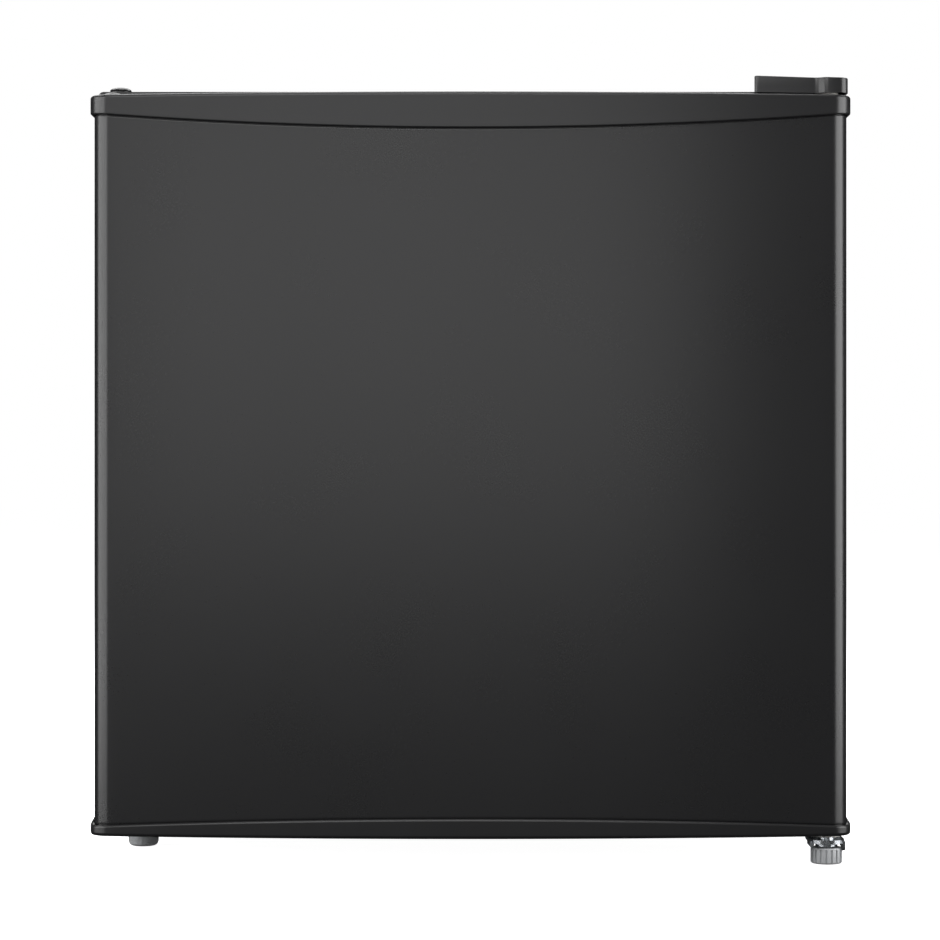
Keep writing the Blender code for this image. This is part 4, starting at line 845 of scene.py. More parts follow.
@dataclass
class DoorFront:
    """The bowed skin, its two end caps and the plug in the spare hinge hole."""

    top_end: float = 11.7 * MM
    top_middle: float = 22.6 * MM
    bottom_end: float = 6.2 * MM
    bottom_middle: float = 12.3 * MM
    edge: float = 2.0 * MM
    lip: float = 1.1 * MM
    plate: float = 2.5 * MM
    rim: float = 7 * MM
    wall: float = 2.0 * MM
    sheet: float = 0.8 * MM
    ear: float = 6.5 * MM
    ear_start: float = -205 * MM
    ear_run: float = 14 * MM
    hem: float = 0.7 * MM
    flange: float = 4 * MM

    def build(self) -> None:
        """Build and dress the caps, the skin and the plug."""
        low, self.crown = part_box("door_top_cap")
        self.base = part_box("door_bottom_cap")[0].z
        self.bow = Bow(self.crown.x, low.y, self.crown.y, 13 * MM)
        self._cap(
            "door_cap_top", self.crown.z, -1, self.top_end, self.top_middle,
            ("door_top_bush", "door_hole_plug"),
        ).dress("door", BLACK_CAP, "cap_plastic", ["door_top_cap"], 40)
        self._cap(
            "door_cap_bottom", self.base, 1, self.bottom_end, self.bottom_middle, ("door_bottom_bush",)
        ).dress("door", BLACK_CAP, "cap_plastic", ["door_bottom_cap"], 40)
        self._skin().dress("door", BLACK_SHEET, "black_paint", ["door_skin"], 40)
        self._plug().dress("door", BLACK_CAP, "cap_plastic", ["door_hole_plug"], 50)

    def _cap(
        self, name: str, flat: float, way: int, end: float, middle: float, holes: tuple[str, ...]
    ) -> Piece:
        """Shape a cap: a plate with a rounded skirt whose edge is a shallow arc.

        Args:
            name: the piece's name.
            flat: height of the plate's outer face.
            way: 1 if the skirt goes up from the plate, -1 if it goes down.
            end: the skirt's height at its ends.
            middle: its height in the middle.
            holes: nodes that pass through the plate.

        Returns:
            The cap.
        """
        seam = flat + way * middle
        round_over = arc((self.edge, self.edge), self.edge, 270, 180, 5)
        lip = arc((self.lip, -self.lip), self.lip, 180, 90, 3)
        hold = 0.3 * MM
        section = [(self.rim, flat), (self.edge + hold, flat)]
        section += [(inset, flat + way * depth) for inset, depth in round_over]
        section += [(0, flat + way * (self.edge + hold)), (0, seam - way * (self.lip + hold))]
        section += [(inset, seam + way * depth) for inset, depth in lip]
        inside = flat + way * self.plate
        section += [(self.wall, seam), (self.wall, inside), (self.rim, inside)]
        piece = self.bow.sweep(name, section)
        inner = self.bow.half - self.rim
        for height in (flat, inside):
            piece.pick(
                lambda co: abs(co.z - height) < 1e-6
                and abs(co.y - self.bow.back) < 1e-6
                and abs(abs(co.x) - inner) < 1e-5,
                Kind.VERT,
            )
            bpy.ops.mesh.edge_face_add()
            piece.fill(lambda co: abs(co.z - height) < 1e-6)
        piece.fill(lambda co: abs(co.y - self.bow.back) < 1e-6)
        sag = (middle - end) / self.bow.half**2
        skirt = flat + way * (self.plate + self.lip / 2)
        piece.warp(lambda co: Vector((0, 0, -way * sag * co.x**2)), lambda co: way * (co.z - skirt) > 0)
        if way > 0:
            piece.warp(self._ear_rise, lambda co: co.z - flat > self.plate + 1 * MM and co.y > self.ear_start)
        for node in holes:
            low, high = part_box(node)
            middle_point = ((low.x + high.x) / 2, (low.y + high.y) / 2, flat)
            radius = (high.x - low.x) / 2 - 1.5 * MM
            piece.combine(Piece.drum("hole", middle_point, radius, 12 * MM, sides=40))
        return piece

    def _ear_rise(self, co: Vector) -> Vector:
        """How far the bottom cap's side wall rises towards the door's rear edge.

        Args:
            co: a place on the cap.

        Returns:
            The rise at that place.
        """
        share = min(1.0, max(0.0, (co.y - self.ear_start) / self.ear_run))
        inward = min(1.0, (self.bow.half - abs(co.x)) / self.wall)
        return Vector((0, 0, self.ear * (3 * share**2 - 2 * share**3) * (0.25 + 0.75 * inward)))

    def _skin(self) -> Piece:
        """Bend the door's sheet, with hems that turn in under the caps' edges.

        Returns:
            The skin.
        """
        low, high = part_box("door_skin")
        bow = Bow(high.x, low.y, high.y, 11.6 * MM)
        seam_low, seam_high = self.base + self.bottom_middle, self.crown.z - self.top_middle
        gap, hold = 0.3 * MM, 1 * MM
        bend = self.hem
        outer = [(bend, seam_low - self.flange)]
        outer += arc((bend, seam_low + gap + bend), bend, 270, 180, 4)
        outer += [(0, seam_low + gap + bend + hold), (0, seam_high - gap - bend - hold)]
        outer += arc((bend, seam_high - gap - bend), bend, 180, 90, 4)
        outer += [(bend, seam_high + self.flange)]
        inner = [(inset + self.sheet, height) for inset, height in reversed(outer)]
        piece = bow.sweep("door_sheet", outer + inner, closed=True)
        for side in (-1, 1):
            piece.fill(lambda co: abs(co.y - bow.back) < 1e-6 and co.x * side > 0)
        middle = (seam_low + seam_high) / 2
        top_sag = (self.top_middle - self.top_end) / self.crown.x**2
        low_sag = (self.bottom_middle - self.bottom_end) / self.crown.x**2
        piece.warp(lambda co: Vector((0, 0, top_sag * co.x**2 if co.z > middle else -low_sag * co.x**2)))
        return piece

    def _plug(self) -> Piece:
        """Turn the low domed plug with its thin rim.

        Returns:
            The plug.
        """
        low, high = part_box("door_hole_plug")
        radius, rise = (high.x - low.x) / 2, high.z - self.crown.z
        profile = [(0, low.z - self.crown.z), (4.4 * MM, low.z - self.crown.z), (4.7 * MM, 0.3 * MM)]
        profile += [(radius - 0.3 * MM, 0.3 * MM), (radius, 0.55 * MM), (radius, 1.0 * MM)]
        profile += [(radius - 0.5 * MM, 1.3 * MM)]
        profile += dome(radius - 0.7 * MM, 1.3 * MM, rise)
        return Piece.turned(
            "door_spare_hole_plug", profile, ((low.x + high.x) / 2, (low.y + high.y) / 2, self.crown.z)
        )


@dataclass
class TopHinge:
    """The hinge cover on the cabinet's top and the plug over the spare hole."""

    wall: float = 1.5 * MM
    step: float = 4.5 * MM
    taper: float = 9.5 * MM
    slope: float = 1.0 * MM

    def build(self) -> None:
        """Build and dress the cover and the plug."""
        self._cover().dress("cabinet", BLACK_CAP, "black_plastic", ["hinge_cover"], 40)
        self._plug().dress("cabinet", BLACK_CAP, "black_plastic", ["cabinet_hole_plug"], 50)

    def _cover(self) -> Piece:
        """Shape the hollow cover: stepped front, rounded corners, top falling to the right.

        Returns:
            The cover.
        """
        low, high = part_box("hinge_cover")
        shell_low, shell_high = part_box("outer_shell")
        front, back = low.y, high.y
        rest = front + self.step
        plan = [
            (low.x + self.taper, back), (low.x, front), (215 * MM, rest), (219.5 * MM, front + 0.6 * MM),
            (high.x, front + 1.8 * MM), (high.x, back),
        ]
        piece = Piece.prism("upper_hinge_cover", [(x, y, low.z) for x, y in plan], (0, 0, high.z - low.z))
        piece.pick_along((0, 0, 1), lambda co: co.x > 231 * MM and co.y < front + 3 * MM).bevel(5.5 * MM, 8)
        piece.pick_along((0, 0, 1), lambda co: 214 * MM < co.x < 221 * MM and co.y < rest + 1 * MM)
        piece.bevel(1.9 * MM, 5)
        piece.pick_along((0, 0, 1), lambda co: co.x < low.x + 1 * MM or co.y > back - 1 * MM)
        piece.bevel(2.6 * MM, 4)
        piece.even().pick_facing((0, 0, -1)).inset(self.wall)
        piece.extrude((0, 0, high.z - low.z - self.wall))
        piece.pick_facing((0, 0, 1), lambda co: co.z > high.z - 0.1 * MM)
        bpy.ops.mesh.region_to_loop()
        piece.bevel(0.6 * MM, 3)
        clear = 5 * MM
        rear_low = (low.x - clear, shell_low.y - 0.3 * MM, low.z - clear)
        rear_high = (high.x + clear, back + clear, shell_high.z + 0.3 * MM)
        piece.combine(Piece.block("rear", rear_low, rear_high))
        span = high.x - low.x
        return piece.warp(
            lambda co: Vector((0, 0, -self.slope * (co.x - low.x) / span)),
            lambda co: co.z > high.z - self.wall - 0.1 * MM,
        )

    def _plug(self) -> Piece:
        """Turn the domed plug over its flange.

        Returns:
            The plug.
        """
        low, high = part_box("cabinet_hole_plug")
        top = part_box("outer_shell")[1].z
        radius, rise = (high.x - low.x) / 2, high.z - top
        flange = radius - 0.1 * MM
        profile = [(0, low.z - top), (4.4 * MM, low.z - top), (4.7 * MM, 0.3 * MM)]
        profile += [(radius - 0.5 * MM, 0.3 * MM), (flange, 0.6 * MM), (flange, 1.3 * MM)]
        profile += [(radius - 0.6 * MM, 1.7 * MM), (radius, 2.0 * MM)]
        profile += dome(radius, 2.0 * MM, rise)
        return Piece.turned(
            "cabinet_spare_hole_plug", profile, ((low.x + high.x) / 2, (low.y + high.y) / 2, top)
        )


@dataclass
class LowerHinge:
    """The bracket under the door's right corner, its lock nut, and the two levelling feet."""

    plate: float = 2.3 * MM
    foot_ribs: int = 18
    knurls: int = 60

    def build(self) -> None:
        """Build and dress the bracket, the nut and the feet."""
        self.axis = ((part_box("right_foot")[0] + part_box("right_foot")[1]) / 2).xy
        self._bracket().dress("cabinet", ZINC, "zinc_plate", ["lower_hinge"], 35)
        self._nut().dress("cabinet", ZINC, "zinc_plate", ["right_foot_nut"], 35)
        self._right_foot().dress("right_foot", GREY_PLASTIC, "grey_plastic", ["right_foot"], 35)
        self._left_foot().dress("left_foot", GREY_PLASTIC, "grey_plastic", ["left_foot"], 35)

    def _bracket(self) -> Piece:
        """Press the bracket: a round-nosed plate, joggled up to the cabinet, with side lips.

        Returns:
            The bracket.
        """
        low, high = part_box("lower_hinge")
        x, y = self.axis
        half = (high.x - low.x) / 2
        plate_low = low.z + 4.5 * MM
        plate_high = plate_low + self.plate
        seat_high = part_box("base_pan")[0].z - 0.3 * MM
        seat_low = seat_high - self.plate
        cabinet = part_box("base_pan")[0].y
        rise, land, back = cabinet - 9 * MM, cabinet - 1 * MM, high.y
        nose = low.y
        strip = [
            (nose, plate_low), (rise, plate_low), (land, seat_low), (back, seat_low), (back, seat_high),
            (land - 1 * MM, seat_high), (rise - 1 * MM, plate_high), (nose, plate_high),
        ]
        piece = Piece.prism("hinge_bracket", [(x - half, a, b) for a, b in strip], (2 * half, 0, 0))
        piece.pick_along((0, 0, 1), lambda co: co.y < nose + 1 * MM).bevel(half - 0.6 * MM, 12)
        piece.pick_along((0, 0, 1), lambda co: co.y > back - 1 * MM).bevel(4 * MM, 6)
        piece.pick_along(
            (1, 0, 0), lambda co: land - 3 * MM < co.y < land + 1 * MM or abs(co.y - rise) < 2 * MM
        )
        piece.bevel(1.2 * MM, 3)
        left, right = x - half, x + half
        lip_low, lip_high = 10.3 * MM, 14 * MM
        left_lip = Piece.prism(
            "left_lip",
            [(left, y - 5 * MM, lip_high), (left + 3.6 * MM, y - 5 * MM, lip_high),
             (left + 2.0 * MM, y - 5 * MM, lip_low), (left + 0.3 * MM, y - 5 * MM, lip_low)],
            (0, 16 * MM, 0),
        )
        left_lip.pick_along((0, 1, 0), lambda co: co.z < lip_low + 1 * MM).bevel(0.5 * MM, 3)
        hooked = [
            (-6.5, 14), (-6.5, 8.3), (1.5, 8.3), (3.5, 10.3), (11, 10.3), (11, 14),
        ]
        right_lip = Piece.prism(
            "right_lip", [(right - 1.8 * MM, y + a * MM, b * MM) for a, b in hooked], (1.79 * MM, 0, 0)
        )
        right_lip.pick_along((1, 0, 0), lambda co: co.z < 11 * MM and co.y < y + 3 * MM).bevel(1.9 * MM, 5)
        pin = Piece.drum("pin", (x, y, 22.65 * MM), 5 * MM, 18.7 * MM)
        pin.pick(lambda co: co.z > 31.9 * MM).inset(0.6 * MM, 0.5 * MM)
        for other in (left_lip, right_lip, pin):
            piece.combine(other, "UNION")
        screw_x, screw = x - 4 * MM, 2.3 * MM
        screws = [((screw_x, cabinet + setback), screw) for setback in (14 * MM, 36 * MM)]
        for place, radius in (((x, y), 3.3 * MM), *screws):
            piece.combine(Piece.drum("bore", (*place, 20 * MM), radius, 40 * MM, sides=32))
        return piece

    def _nut(self) -> Piece:
        """Turn the round lock nut with its chamfered edges.

        Returns:
            The nut.
        """
        radius, low, high = 6.9 * MM, 10.3 * MM, 12.5 * MM
        bore, chamfer = 3.3 * MM, 0.5 * MM
        profile = [(bore, low), (radius - chamfer, low), (radius, low + chamfer)]
        profile += [(radius, high - chamfer), (radius - chamfer, high), (bore, high)]
        return Piece.turned("right_foot_lock_nut", profile, (*self.axis, 0), closed=True)

    def _ribbed(
        self, name: str, profile: list[tuple[float, float]], centre: Vector, ribs: int, steps: int,
        grooved: Callable[[int], bool], band: tuple[float, float], depth: float,
    ) -> Piece:
        """Turn a foot and press grooves into a band of its side.

        Args:
            name: the piece's name.
            profile: its (radius, height) points.
            centre: its axis in plan.
            ribs: number of ribs.
            steps: facets to a rib.
            grooved: says which facets of a rib are grooved.
            band: lowest and highest point of the grooves.
            depth: how deep they are.

        Returns:
            The foot.
        """
        piece = Piece.turned(name, profile, (*centre, 0), steps=ribs * steps)
        piece.even()
        facet = 2 * math.pi / (ribs * steps)

        def in_groove(co: Vector) -> bool:
            """Whether a facet lies in a groove.

            Args:
                co: the middle of a facet.

            Returns:
                True if it does.
            """
            out = co.xy - centre
            turn = math.atan2(out.y, out.x) % (2 * math.pi)
            return band[0] < co.z < band[1] and out.length > 7 * MM and grooved(int(turn / facet) % steps)

        piece.pick(in_groove).swell(-depth)
        return piece

    def _right_foot(self) -> Piece:
        """Shape the foot under the hinge: a drum with broad ribs and a threaded stud.

        Returns:
            The foot.
        """
        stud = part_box("right_foot")[1].z
        profile = [(0, 0), *arc((8.4 * MM, 1.5 * MM), 1.5 * MM, 270, 360, 4), (9.9 * MM, 5 * MM)]
        profile += [*arc((9.0 * MM, 9.1 * MM), 0.9 * MM, 0, 90, 3), (6.2 * MM, 10 * MM), (5.8 * MM, 9.4 * MM)]
        profile += [(3.4 * MM, 9.4 * MM), *self._thread(9.6 * MM, stud), (0, stud)]
        return self._ribbed(
            "right_levelling_foot", profile, self.axis, self.foot_ribs, 6, lambda k: k < 2,
            (0.8 * MM, 9.3 * MM), 0.75 * MM,
        )

    def _left_foot(self) -> Piece:
        """Shape the foot under the cabinet: a smooth bowl with a finely knurled rim.

        Returns:
            The foot.
        """
        low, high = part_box("left_foot")
        profile = [(0, 0), *arc((6.6 * MM, 3 * MM), 3 * MM, 270, 350, 8), (9.75 * MM, 3.2 * MM)]
        profile += [(9.9 * MM, 9.2 * MM), (9.3 * MM, 10 * MM), (3.6 * MM, 10 * MM)]
        profile += [*self._thread(10.2 * MM, 24 * MM), (2.9 * MM, high.z), (0, high.z)]
        return self._ribbed(
            "left_levelling_foot", profile, ((low + high) / 2).xy, self.knurls, 3, lambda k: k == 0,
            (2.5 * MM, 9.3 * MM), 0.4 * MM,
        )

    @staticmethod
    def _thread(low: float, high: float) -> list[tuple[float, float]]:
        """Crests and roots of a 1 mm thread, drawn as rings.

        Args:
            low: where the thread starts.
            high: where it ends.

        Returns:
            Its (radius, height) points.
        """
        root, crest = 2.65 * MM, 3.0 * MM
        points = []
        for turn in range(max(1, int((high - low - 0.6 * MM) / MM))):
            z = low + turn * MM
            points += [(root, z), (crest, z + 0.35 * MM), (crest, z + 0.5 * MM), (root, z + 0.85 * MM)]
        return points


# --- Finishes of the carried-over parts -------------------------------------------------------

SLOT_FINISH: dict[str, Finish] = {
    "black_paint": BLACK_SHEET,
    "galvanised_sheet": GALVANISED,
    "polyurethane_foam": FOAM,
    "white_liner": LINER,
    "black_plastic": BLACK_PLASTIC,
    "black_rubber": RUBBER,
    "zinc_plate": ZINC,
    "roll_bond_aluminium": ALUMINIUM,
    "compressor_black": ENAMEL,
    "copper": COPPER,
    "cap_plastic": BLACK_CAP,
    "gasket_vinyl": SEAL,
    "clear_plastic": ICE_PLASTIC,
    "natural_nylon": NYLON,
    "shelf_glass": GLASS,
    "grey_plastic": GREY_PLASTIC,
}


def dress_frame() -> None:
    """Give every carried-over part the finish of its slot."""
    for row in frame["record"]["subparts"]:
        node = frame["nodes"][row["node"]]
        finish = EMBOSSED_SHEET if row["node"] == "outer_shell" else SLOT_FINISH[row["material_slot"]]
        node.data.materials.clear()
        node.data.materials.append(finish.material())


# --- Back of the cabinet ----------------------------------------------------------------------


@dataclass
class Rear:
    """The cooling wires on the condenser and the embossed, screwed rear panel."""

    wire: float = 0.8 * MM
    pitch: float = 9.25 * MM
    wires: int = 37
    head: float = 3.5 * MM
    screw_inset: float = 12 * MM

    def build(self) -> None:
        """Build and dress the wires, the screws and the panel's bead."""
        self._wires().dress("cabinet", ENAMEL, "compressor_black")
        self._screws().dress("cabinet", ZINC, "zinc_plate")
        self._bead().dress("cabinet", GALVANISED, "galvanised_sheet", smooth=60)

    def _wires(self) -> Piece:
        """Lay thin upright wires on both sides of the coil's level runs.

        Returns:
            The wires.
        """
        coil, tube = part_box("condenser_coil")[1], 2.5 * MM
        bottom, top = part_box("rear_panel")[0].z + 13 * MM, coil.z + 5 * MM
        start = -self.pitch * (self.wires - 1) / 2
        sides = []
        for way in (-1, 1):
            y = coil.y - tube + way * (tube + self.wire - 0.35 * MM)
            middle = (start, y, (bottom + top) / 2)
            side = Piece.drum("condenser_wires", middle, self.wire, top - bottom, sides=6)
            sides.append(side.repeat((self.pitch, 0, 0), self.wires))
        return sides[0].absorb(sides[1])

    def _screws(self) -> Piece:
        """Set cross-slotted pan-head screws along the rear panel's top and bottom.

        Returns:
            The screws.
        """
        low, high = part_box("rear_panel")
        x, y, z = low.x + self.screw_inset, high.y, high.z - self.screw_inset
        profile = [(0, -0.4 * MM), (self.head, -0.4 * MM), (self.head, 0.3 * MM)]
        crown = ((0.93, 1.0), (0.7, 1.7), (0.35, 2.05), (0, 2.1))
        profile += [(share * self.head, height * MM) for share, height in crown]
        screw = Piece.turned("rear_panel_screws", profile, (x, y, z), Axis.Y, 18)
        for half_x, half_z in ((2.1, 0.4), (0.4, 2.1)):
            slot_low = (x - half_x * MM, y + 1.1 * MM, z - half_z * MM)
            screw.combine(Piece.block("slot", slot_low, (x + half_x * MM, y + 3 * MM, z + half_z * MM)))
        across = (high.x - low.x - 2 * self.screw_inset) / 3
        down = high.z - low.z - 2 * self.screw_inset
        bpy.ops.mesh.select_all(action="SELECT")
        screw.repeat((across, 0, 0), 4)
        bpy.ops.mesh.select_all(action="SELECT")
        screw.repeat((0, 0, -down), 2)
        return screw

    def _bead(self) -> Piece:
        """Press a rounded stiffening bead round the rear panel.

        Returns:
            The bead.
        """
        low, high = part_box("rear_panel")
        ridge = ((0, -0.3), (0.8, 0.2), (2, 0.8), (3.5, 1.1), (5, 0.8), (6.2, 0.2), (7, -0.3))
        section = [(inset * MM, high.y + height * MM) for inset, height in ridge]
        margin = Vector((26 * MM, 0, 26 * MM))
        return Piece.ring("rear_panel_bead", section, low + margin, high - margin, 18 * MM)


@dataclass
class Compressor:
    """The hermetic compressor's deep-drawn shell on its pressed legs."""

    radius: float = 54 * MM
    seam: float = 56.7 * MM
    leg_rise: float = 10.6 * MM
    steps: int = 72

    def build(self) -> None:
        """Build and dress the shell with its legs and stubs."""
        self._shell().dress("cabinet", ENAMEL, "compressor_black", ["compressor_body"], 40)

    def _shell(self) -> Piece:
        """Turn the shell with its welded seam, and join on the legs and tube stubs.

        Returns:
            The shell.
        """
        body_low, body_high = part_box("compressor_body")
        x, y = (body_low.x + body_high.x) / 2, body_high.y - self.seam
        base = body_low.z - self.leg_rise
        outline = [
            (0, 13), (29.7, 13), (38, 14.6), (44.5, 18), (49.5, 23), (52.8, 28.5), (54, 34), (54, 62.4),
            (54.9, 63.2), (56.2, 63.6), (56.7, 64.6), (56.7, 67.4), (56.2, 68.4), (54.9, 68.8),
            (54, 69.8), (54, 92), (53.4, 98), (51.6, 104), (48.2, 109.6), (43.4, 114.6),
            (37.4, 118.8), (29.5, 122.6), (20, 125.6), (10, 127.1), (0, 127.5),
        ]
        profile = [(radius * MM, base + height * MM) for radius, height in outline]
        shell = Piece.turned("compressor_shell", profile, (x, y, 0), steps=self.steps)
        low, pad, reach = body_low.z, 12 * MM, 0.45 * self.radius
        side = self.radius + 2 * MM
        places = [(x + side, y + reach), (x - side, y + reach), (x, y - self.radius - 5 * MM)]
        for place_x, place_y in places:
            if place_x == x:
                corners = (x - 1.1 * pad, place_y - pad), (x + 1.1 * pad, y + 0.4 * self.radius)
            else:
                way = math.copysign(1, place_x - x)
                ends = sorted((place_x + way * pad, x - way * 9 * MM))
                corners = (ends[0], place_y - pad), (ends[1], place_y + pad)
            leg = Piece.block("leg", (*corners[0], low), (*corners[1], low + 5 * MM))
            leg.pick_along((0, 0, 1)).bevel(6 * MM, 5)
            shell.combine(leg, "UNION")
        stubs = (
            (-self.radius - 12 * MM, 4.2 * MM, 103 * MM), (self.radius + 10 * MM, 3.6 * MM, 86 * MM),
        )
        for reach_x, radius, height in stubs:
            centre = (x + reach_x / 2, y, base + height)
            shell.combine(Piece.drum("stub", centre, radius, abs(reach_x), Axis.X, 24), "UNION")
        for place in places:
            shell.combine(Piece.drum("hole", (*place, base + 12 * MM), 3.3 * MM, 20 * MM, sides=24))
        return shell


# --- Carried-over shapes made finer -----------------------------------------------------------


class Refining(Enum):
    """How a carried-over shape is made finer."""

    EDGES = "its edges are rounded off"
    SMOOTH = "it is subdivided and smoothed all over"


@dataclass(frozen=True)
class Refined:
    """A carried-over part whose shape is right, given the soft edges of the real one."""

    node: str
    way: Refining
    amount: float  # radius in millimetres, or number of subdivisions
    angle: float = 40.0

    def build(self) -> None:
        """Copy the part's mesh, refine it and show it instead of the part."""
        mesh = frame["nodes"][self.node].data.copy()
        copy = bpy.data.objects.new(self.node + "_fine", mesh)
        bpy.context.scene.collection.objects.link(copy)
        put_down()
        bpy.context.view_layer.objects.active = copy
        piece = Piece(self.node + "_fine")
        piece.even()
        if self.way is Refining.EDGES:
            bpy.ops.mesh.dissolve_limited(angle_limit=math.radians(0.5))
            piece.modify(
                "BEVEL", width=self.amount * MM, segments=3,
                limit_method="ANGLE", angle_limit=math.radians(30),
            )
        else:
            bpy.ops.mesh.tris_convert_to_quads()
            piece.modify("SUBSURF", levels=int(self.amount), render_levels=int(self.amount))
        record = frame["record"]
        body = next(name for name, nodes in record["behaviour"]["bodies"].items() if self.node in nodes)
        slot = next(row["material_slot"] for row in record["subparts"] if row["node"] == self.node)
        piece.dress(body, SLOT_FINISH[slot], slot, [self.node], self.angle)


ROUNDED_MM = {
    "upper_rack": 0.5, "bottle_rack": 0.5, "drip_tray": 0.4, "freezer_flap": 0.5, "freezer_frame": 1.5,
    "thermostat_housing": 0.8, "thermostat_knob": 0.5, "relay_cover": 0.8, "shelf_glass": 0.6,
    "shelf_trim": 0.5, "door_gasket": 1.0, "tray_runner_left": 0.3, "tray_runner_right": 0.3,
    "rear_foot_left": 0.6, "rear_foot_right": 0.6, "compressor_mount_plate": 0.4, "upper_hinge": 0.4,
    "condenser_spacer_1": 0.8, "condenser_spacer_2": 0.8, "condenser_spacer_3": 0.8,
    "condenser_spacer_4": 0.8, "filter_drier": 0.8,
}
SMOOTHED = ("condenser_coil", "capillary_tube", "suction_pipe") + tuple(
    f"compressor_grommet_{number}" for number in (1, 2, 3)
)
REFINED = [Refined(node, Refining.EDGES, radius) for node, radius in ROUNDED_MM.items()]
REFINED += [Refined(node, Refining.SMOOTH, 1) for node in SMOOTHED]


# --- Inside the cabinet -----------------------------------------------------------------------


@dataclass
class Inside:
    """The freezer box's refrigerant channels and the thermostat's dial."""

    channel: float = 3.2 * MM
    rise: float = 1.4 * MM
    figure: float = 4.6 * MM
    figures: int = 8

    def build(self) -> None:
        """Build and dress the channels, the dial's figures and the knob's pointer."""
        self._channels().dress("cabinet", ALUMINIUM, "roll_bond_aluminium", smooth=60)
        self._dial().dress("cabinet", DIAL_PRINT, "white_liner")
        self._pointer().dress("thermostat_knob", WHITE_PLASTIC, "grey_plastic")

    def _channels(self) -> Piece:
        """Blow up a winding channel on the freezer box's floor.

        Returns:
            The channels.
        """
        low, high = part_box("evaporator_box")
        floor = low.z + 1.2 * MM
        left, right = low.x + 22 * MM, high.x - 22 * MM
        front, back = low.y + 14 * MM, high.y - 22 * MM
        runs = 7
        pitch = (back - front) / (runs - 1)
        bend = pitch / 2
        points = []
        for number in range(runs):
            y = front + number * pitch
            ends = (left, right) if number % 2 == 0 else (right, left)
            points.append((ends[0], y, floor))
            points.append((ends[1], y, floor))
            if number < runs - 1:
                way = 1 if ends[1] == right else -1
                points += [
                    (ends[1] + way * bend * math.sin(angle), y + bend - bend * math.cos(angle), floor)
                    for angle in (math.pi * step / 8 for step in range(1, 8))
                ]
        piece = Piece.tube("refrigerant_channels", points, self.channel)
        share = self.rise / self.channel
        return piece.warp(lambda co: Vector((0, 0, (co.z - floor) * (share - 1))))

    def _dial(self) -> Piece:
        """Print the figures round the knob.

        Returns:
            The figures.
        """
        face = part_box("thermostat_housing")[0].x
        low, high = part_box("thermostat_knob")
        middle = (low + high) / 2
        ring = (high.z - low.z) / 2 + 3.4 * MM
        figures = []
        for number in range(self.figures):
            angle = math.radians(-120 + 240 * number / (self.figures - 1))
            place = (face - 0.05 * MM, middle.y - ring * math.sin(angle), middle.z + ring * math.cos(angle))
            put_down()
            bpy.ops.object.text_add(location=place, rotation=(math.pi / 2, 0, -math.pi / 2))
            text = bpy.context.active_object
            text.data.body = str(number)
            text.data.size = self.figure
            text.data.align_x, text.data.align_y = "CENTER", "CENTER"
            text.data.extrude = 0.12 * MM
            bpy.ops.object.convert(target="MESH")
            figures.append(Piece("dial_figures"))
        return figures[0].absorb(*figures[1:])

    def _pointer(self) -> Piece:
        """Set a raised pointer on the knob's grip.

        Returns:
            The pointer.
        """
        low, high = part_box("thermostat_knob")
        middle = (low + high) / 2
        pointer = Piece.block(
            "knob_pointer", (low.x - 0.3 * MM, middle.y - 0.6 * MM, middle.z + 3 * MM),
            (low.x + 0.5 * MM, middle.y + 0.6 * MM, middle.z + 11 * MM),
        )
        pointer.pick_along((1, 0, 0)).bevel(0.55 * MM, 4)
        return pointer


# --- Studio -----------------------------------------------------------------------------------


@dataclass(frozen=True)
class LampRow:
    """Equal softboxes, evenly spaced at one height and all aimed at the door's middle."""

    name: str
    up: float  # degrees above level
    first: float  # degrees to the left of straight ahead
    last: float
    count: int
    watts: float  # of each lamp
    width: float = 0.6
    height: float = 0.8
    distance: float = 2.4
    aim: tuple[float, float, float] = (0.0, -0.2, 0.26)

    def hang(self) -> None:
        """Add the lamps."""
        tilt = math.radians(self.up)
        step = (self.last - self.first) / max(1, self.count - 1)
        for number in range(self.count):
            turn = math.radians(self.first + number * step)
            way = Vector((-math.sin(turn) * math.cos(tilt), -math.cos(turn) * math.cos(tilt), math.sin(tilt)))
            lamp = bpy.data.lights.new(f"{self.name}_{number + 1}", "AREA")
            lamp.shape = "RECTANGLE"
            lamp.size, lamp.size_y, lamp.energy = self.width, self.height, self.watts
            holder = bpy.data.objects.new(lamp.name, lamp)
            holder.location = Vector(self.aim) + way * self.distance
            holder.rotation_euler = way.to_track_quat("Z", "Y").to_euler()
            holder.visible_camera = False
            bpy.context.scene.collection.objects.link(holder)


LAMPS = (
    LampRow("front", 6, -10, 20, 3, 2.4),
    LampRow("front_high", 33, -5, 25, 3, 6.0),
    LampRow("left_wing", 10, 45, 90, 4, 10, 0.4, 1.6, 2.0),
    LampRow("right_wing", 10, -55, -90, 4, 10, 0.4, 1.6, 2.0),
    LampRow("overhead", 82, 0, 0, 1, 15, 1.3, 1.3, 2.0),
    LampRow("behind", 50, 150, 210, 2, 24, 1.6, 1.0),
)


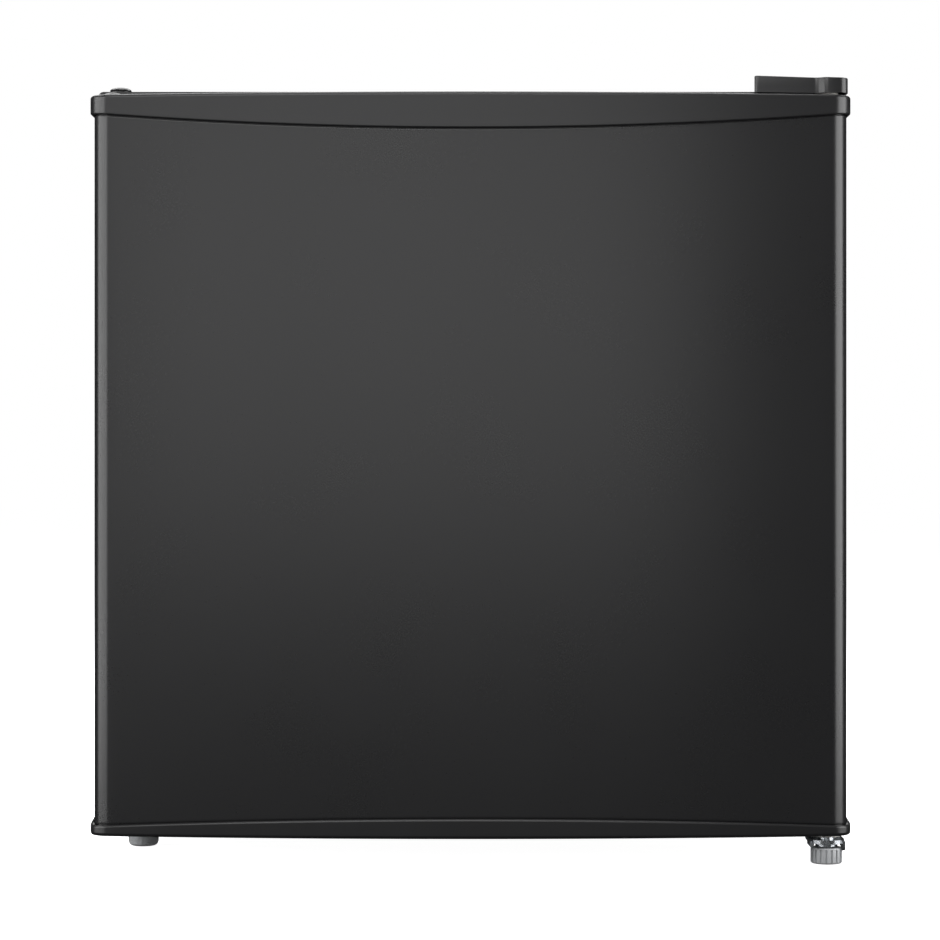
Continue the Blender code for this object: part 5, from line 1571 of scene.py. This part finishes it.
@dataclass
class Studio:
    """White sweep of floor, soft lamps and the camera."""

    camera_place: tuple[float, float, float] = (-0.0003, -2.003, 0.245)
    lens: float = 111.25
    dim: float = 0.03  # brightness of the room round the lamps

    def build(self) -> None:
        """Set up the camera, the floor, the world and the lamps."""
        scene = bpy.context.scene
        scene.view_settings.view_transform = "Standard"
        camera = bpy.data.cameras.new("front_camera")
        camera.lens, camera.sensor_width = self.lens, 36
        holder = bpy.data.objects.new("front_camera", camera)
        holder.location = self.camera_place
        holder.rotation_euler = (math.pi / 2, 0, 0)
        scene.collection.objects.link(holder)
        scene.camera = holder
        put_down()
        bpy.ops.mesh.primitive_plane_add(size=30, location=(0, 0, -0.0005))
        floor = bpy.context.active_object
        floor.name = "studio_floor"
        floor.visible_glossy = floor.visible_diffuse = floor.visible_transmission = False
        white = bpy.data.materials.new("matt_white_paper")
        white.use_nodes = True
        shader = white.node_tree.nodes["Principled BSDF"]
        shader.inputs["Base Color"].default_value = linear("f8f8f8")
        shader.inputs["Roughness"].default_value = 0.9
        shader.inputs["Specular IOR Level"].default_value = 0.0
        shader.inputs["Emission Color"].default_value = (1, 1, 1, 1)
        shader.inputs["Emission Strength"].default_value = 0.97
        floor.data.materials.append(white)
        world = bpy.data.worlds.new("white_room")
        scene.world = world
        world.use_nodes = True
        tree = world.node_tree
        tree.nodes.clear()
        seen = add_node(tree, "ShaderNodeLightPath").outputs["Is Camera Ray"]
        room = add_node(tree, "ShaderNodeMix", {0: seen, 2: self.dim, 3: 1.0}).outputs[0]
        sky = add_node(tree, "ShaderNodeBackground", {"Color": (1, 1, 1, 1), "Strength": room})
        add_node(tree, "ShaderNodeOutputWorld", {"Surface": sky.outputs[0]})
        for row in LAMPS:
            row.hang()
        LOG.info("studio: %d rows of lamps", len(LAMPS))


def main() -> None:
    """Build the fridge's fine pieces in order, then the studio."""
    logging.basicConfig(level=logging.INFO, format="%(name)s: %(message)s")
    dress_frame()
    for part in (DoorFront(), TopHinge(), LowerHinge(), Rear(), Compressor(), *REFINED, Inside(), Studio()):
        part.build()


if __name__ == "__main__":
    main()
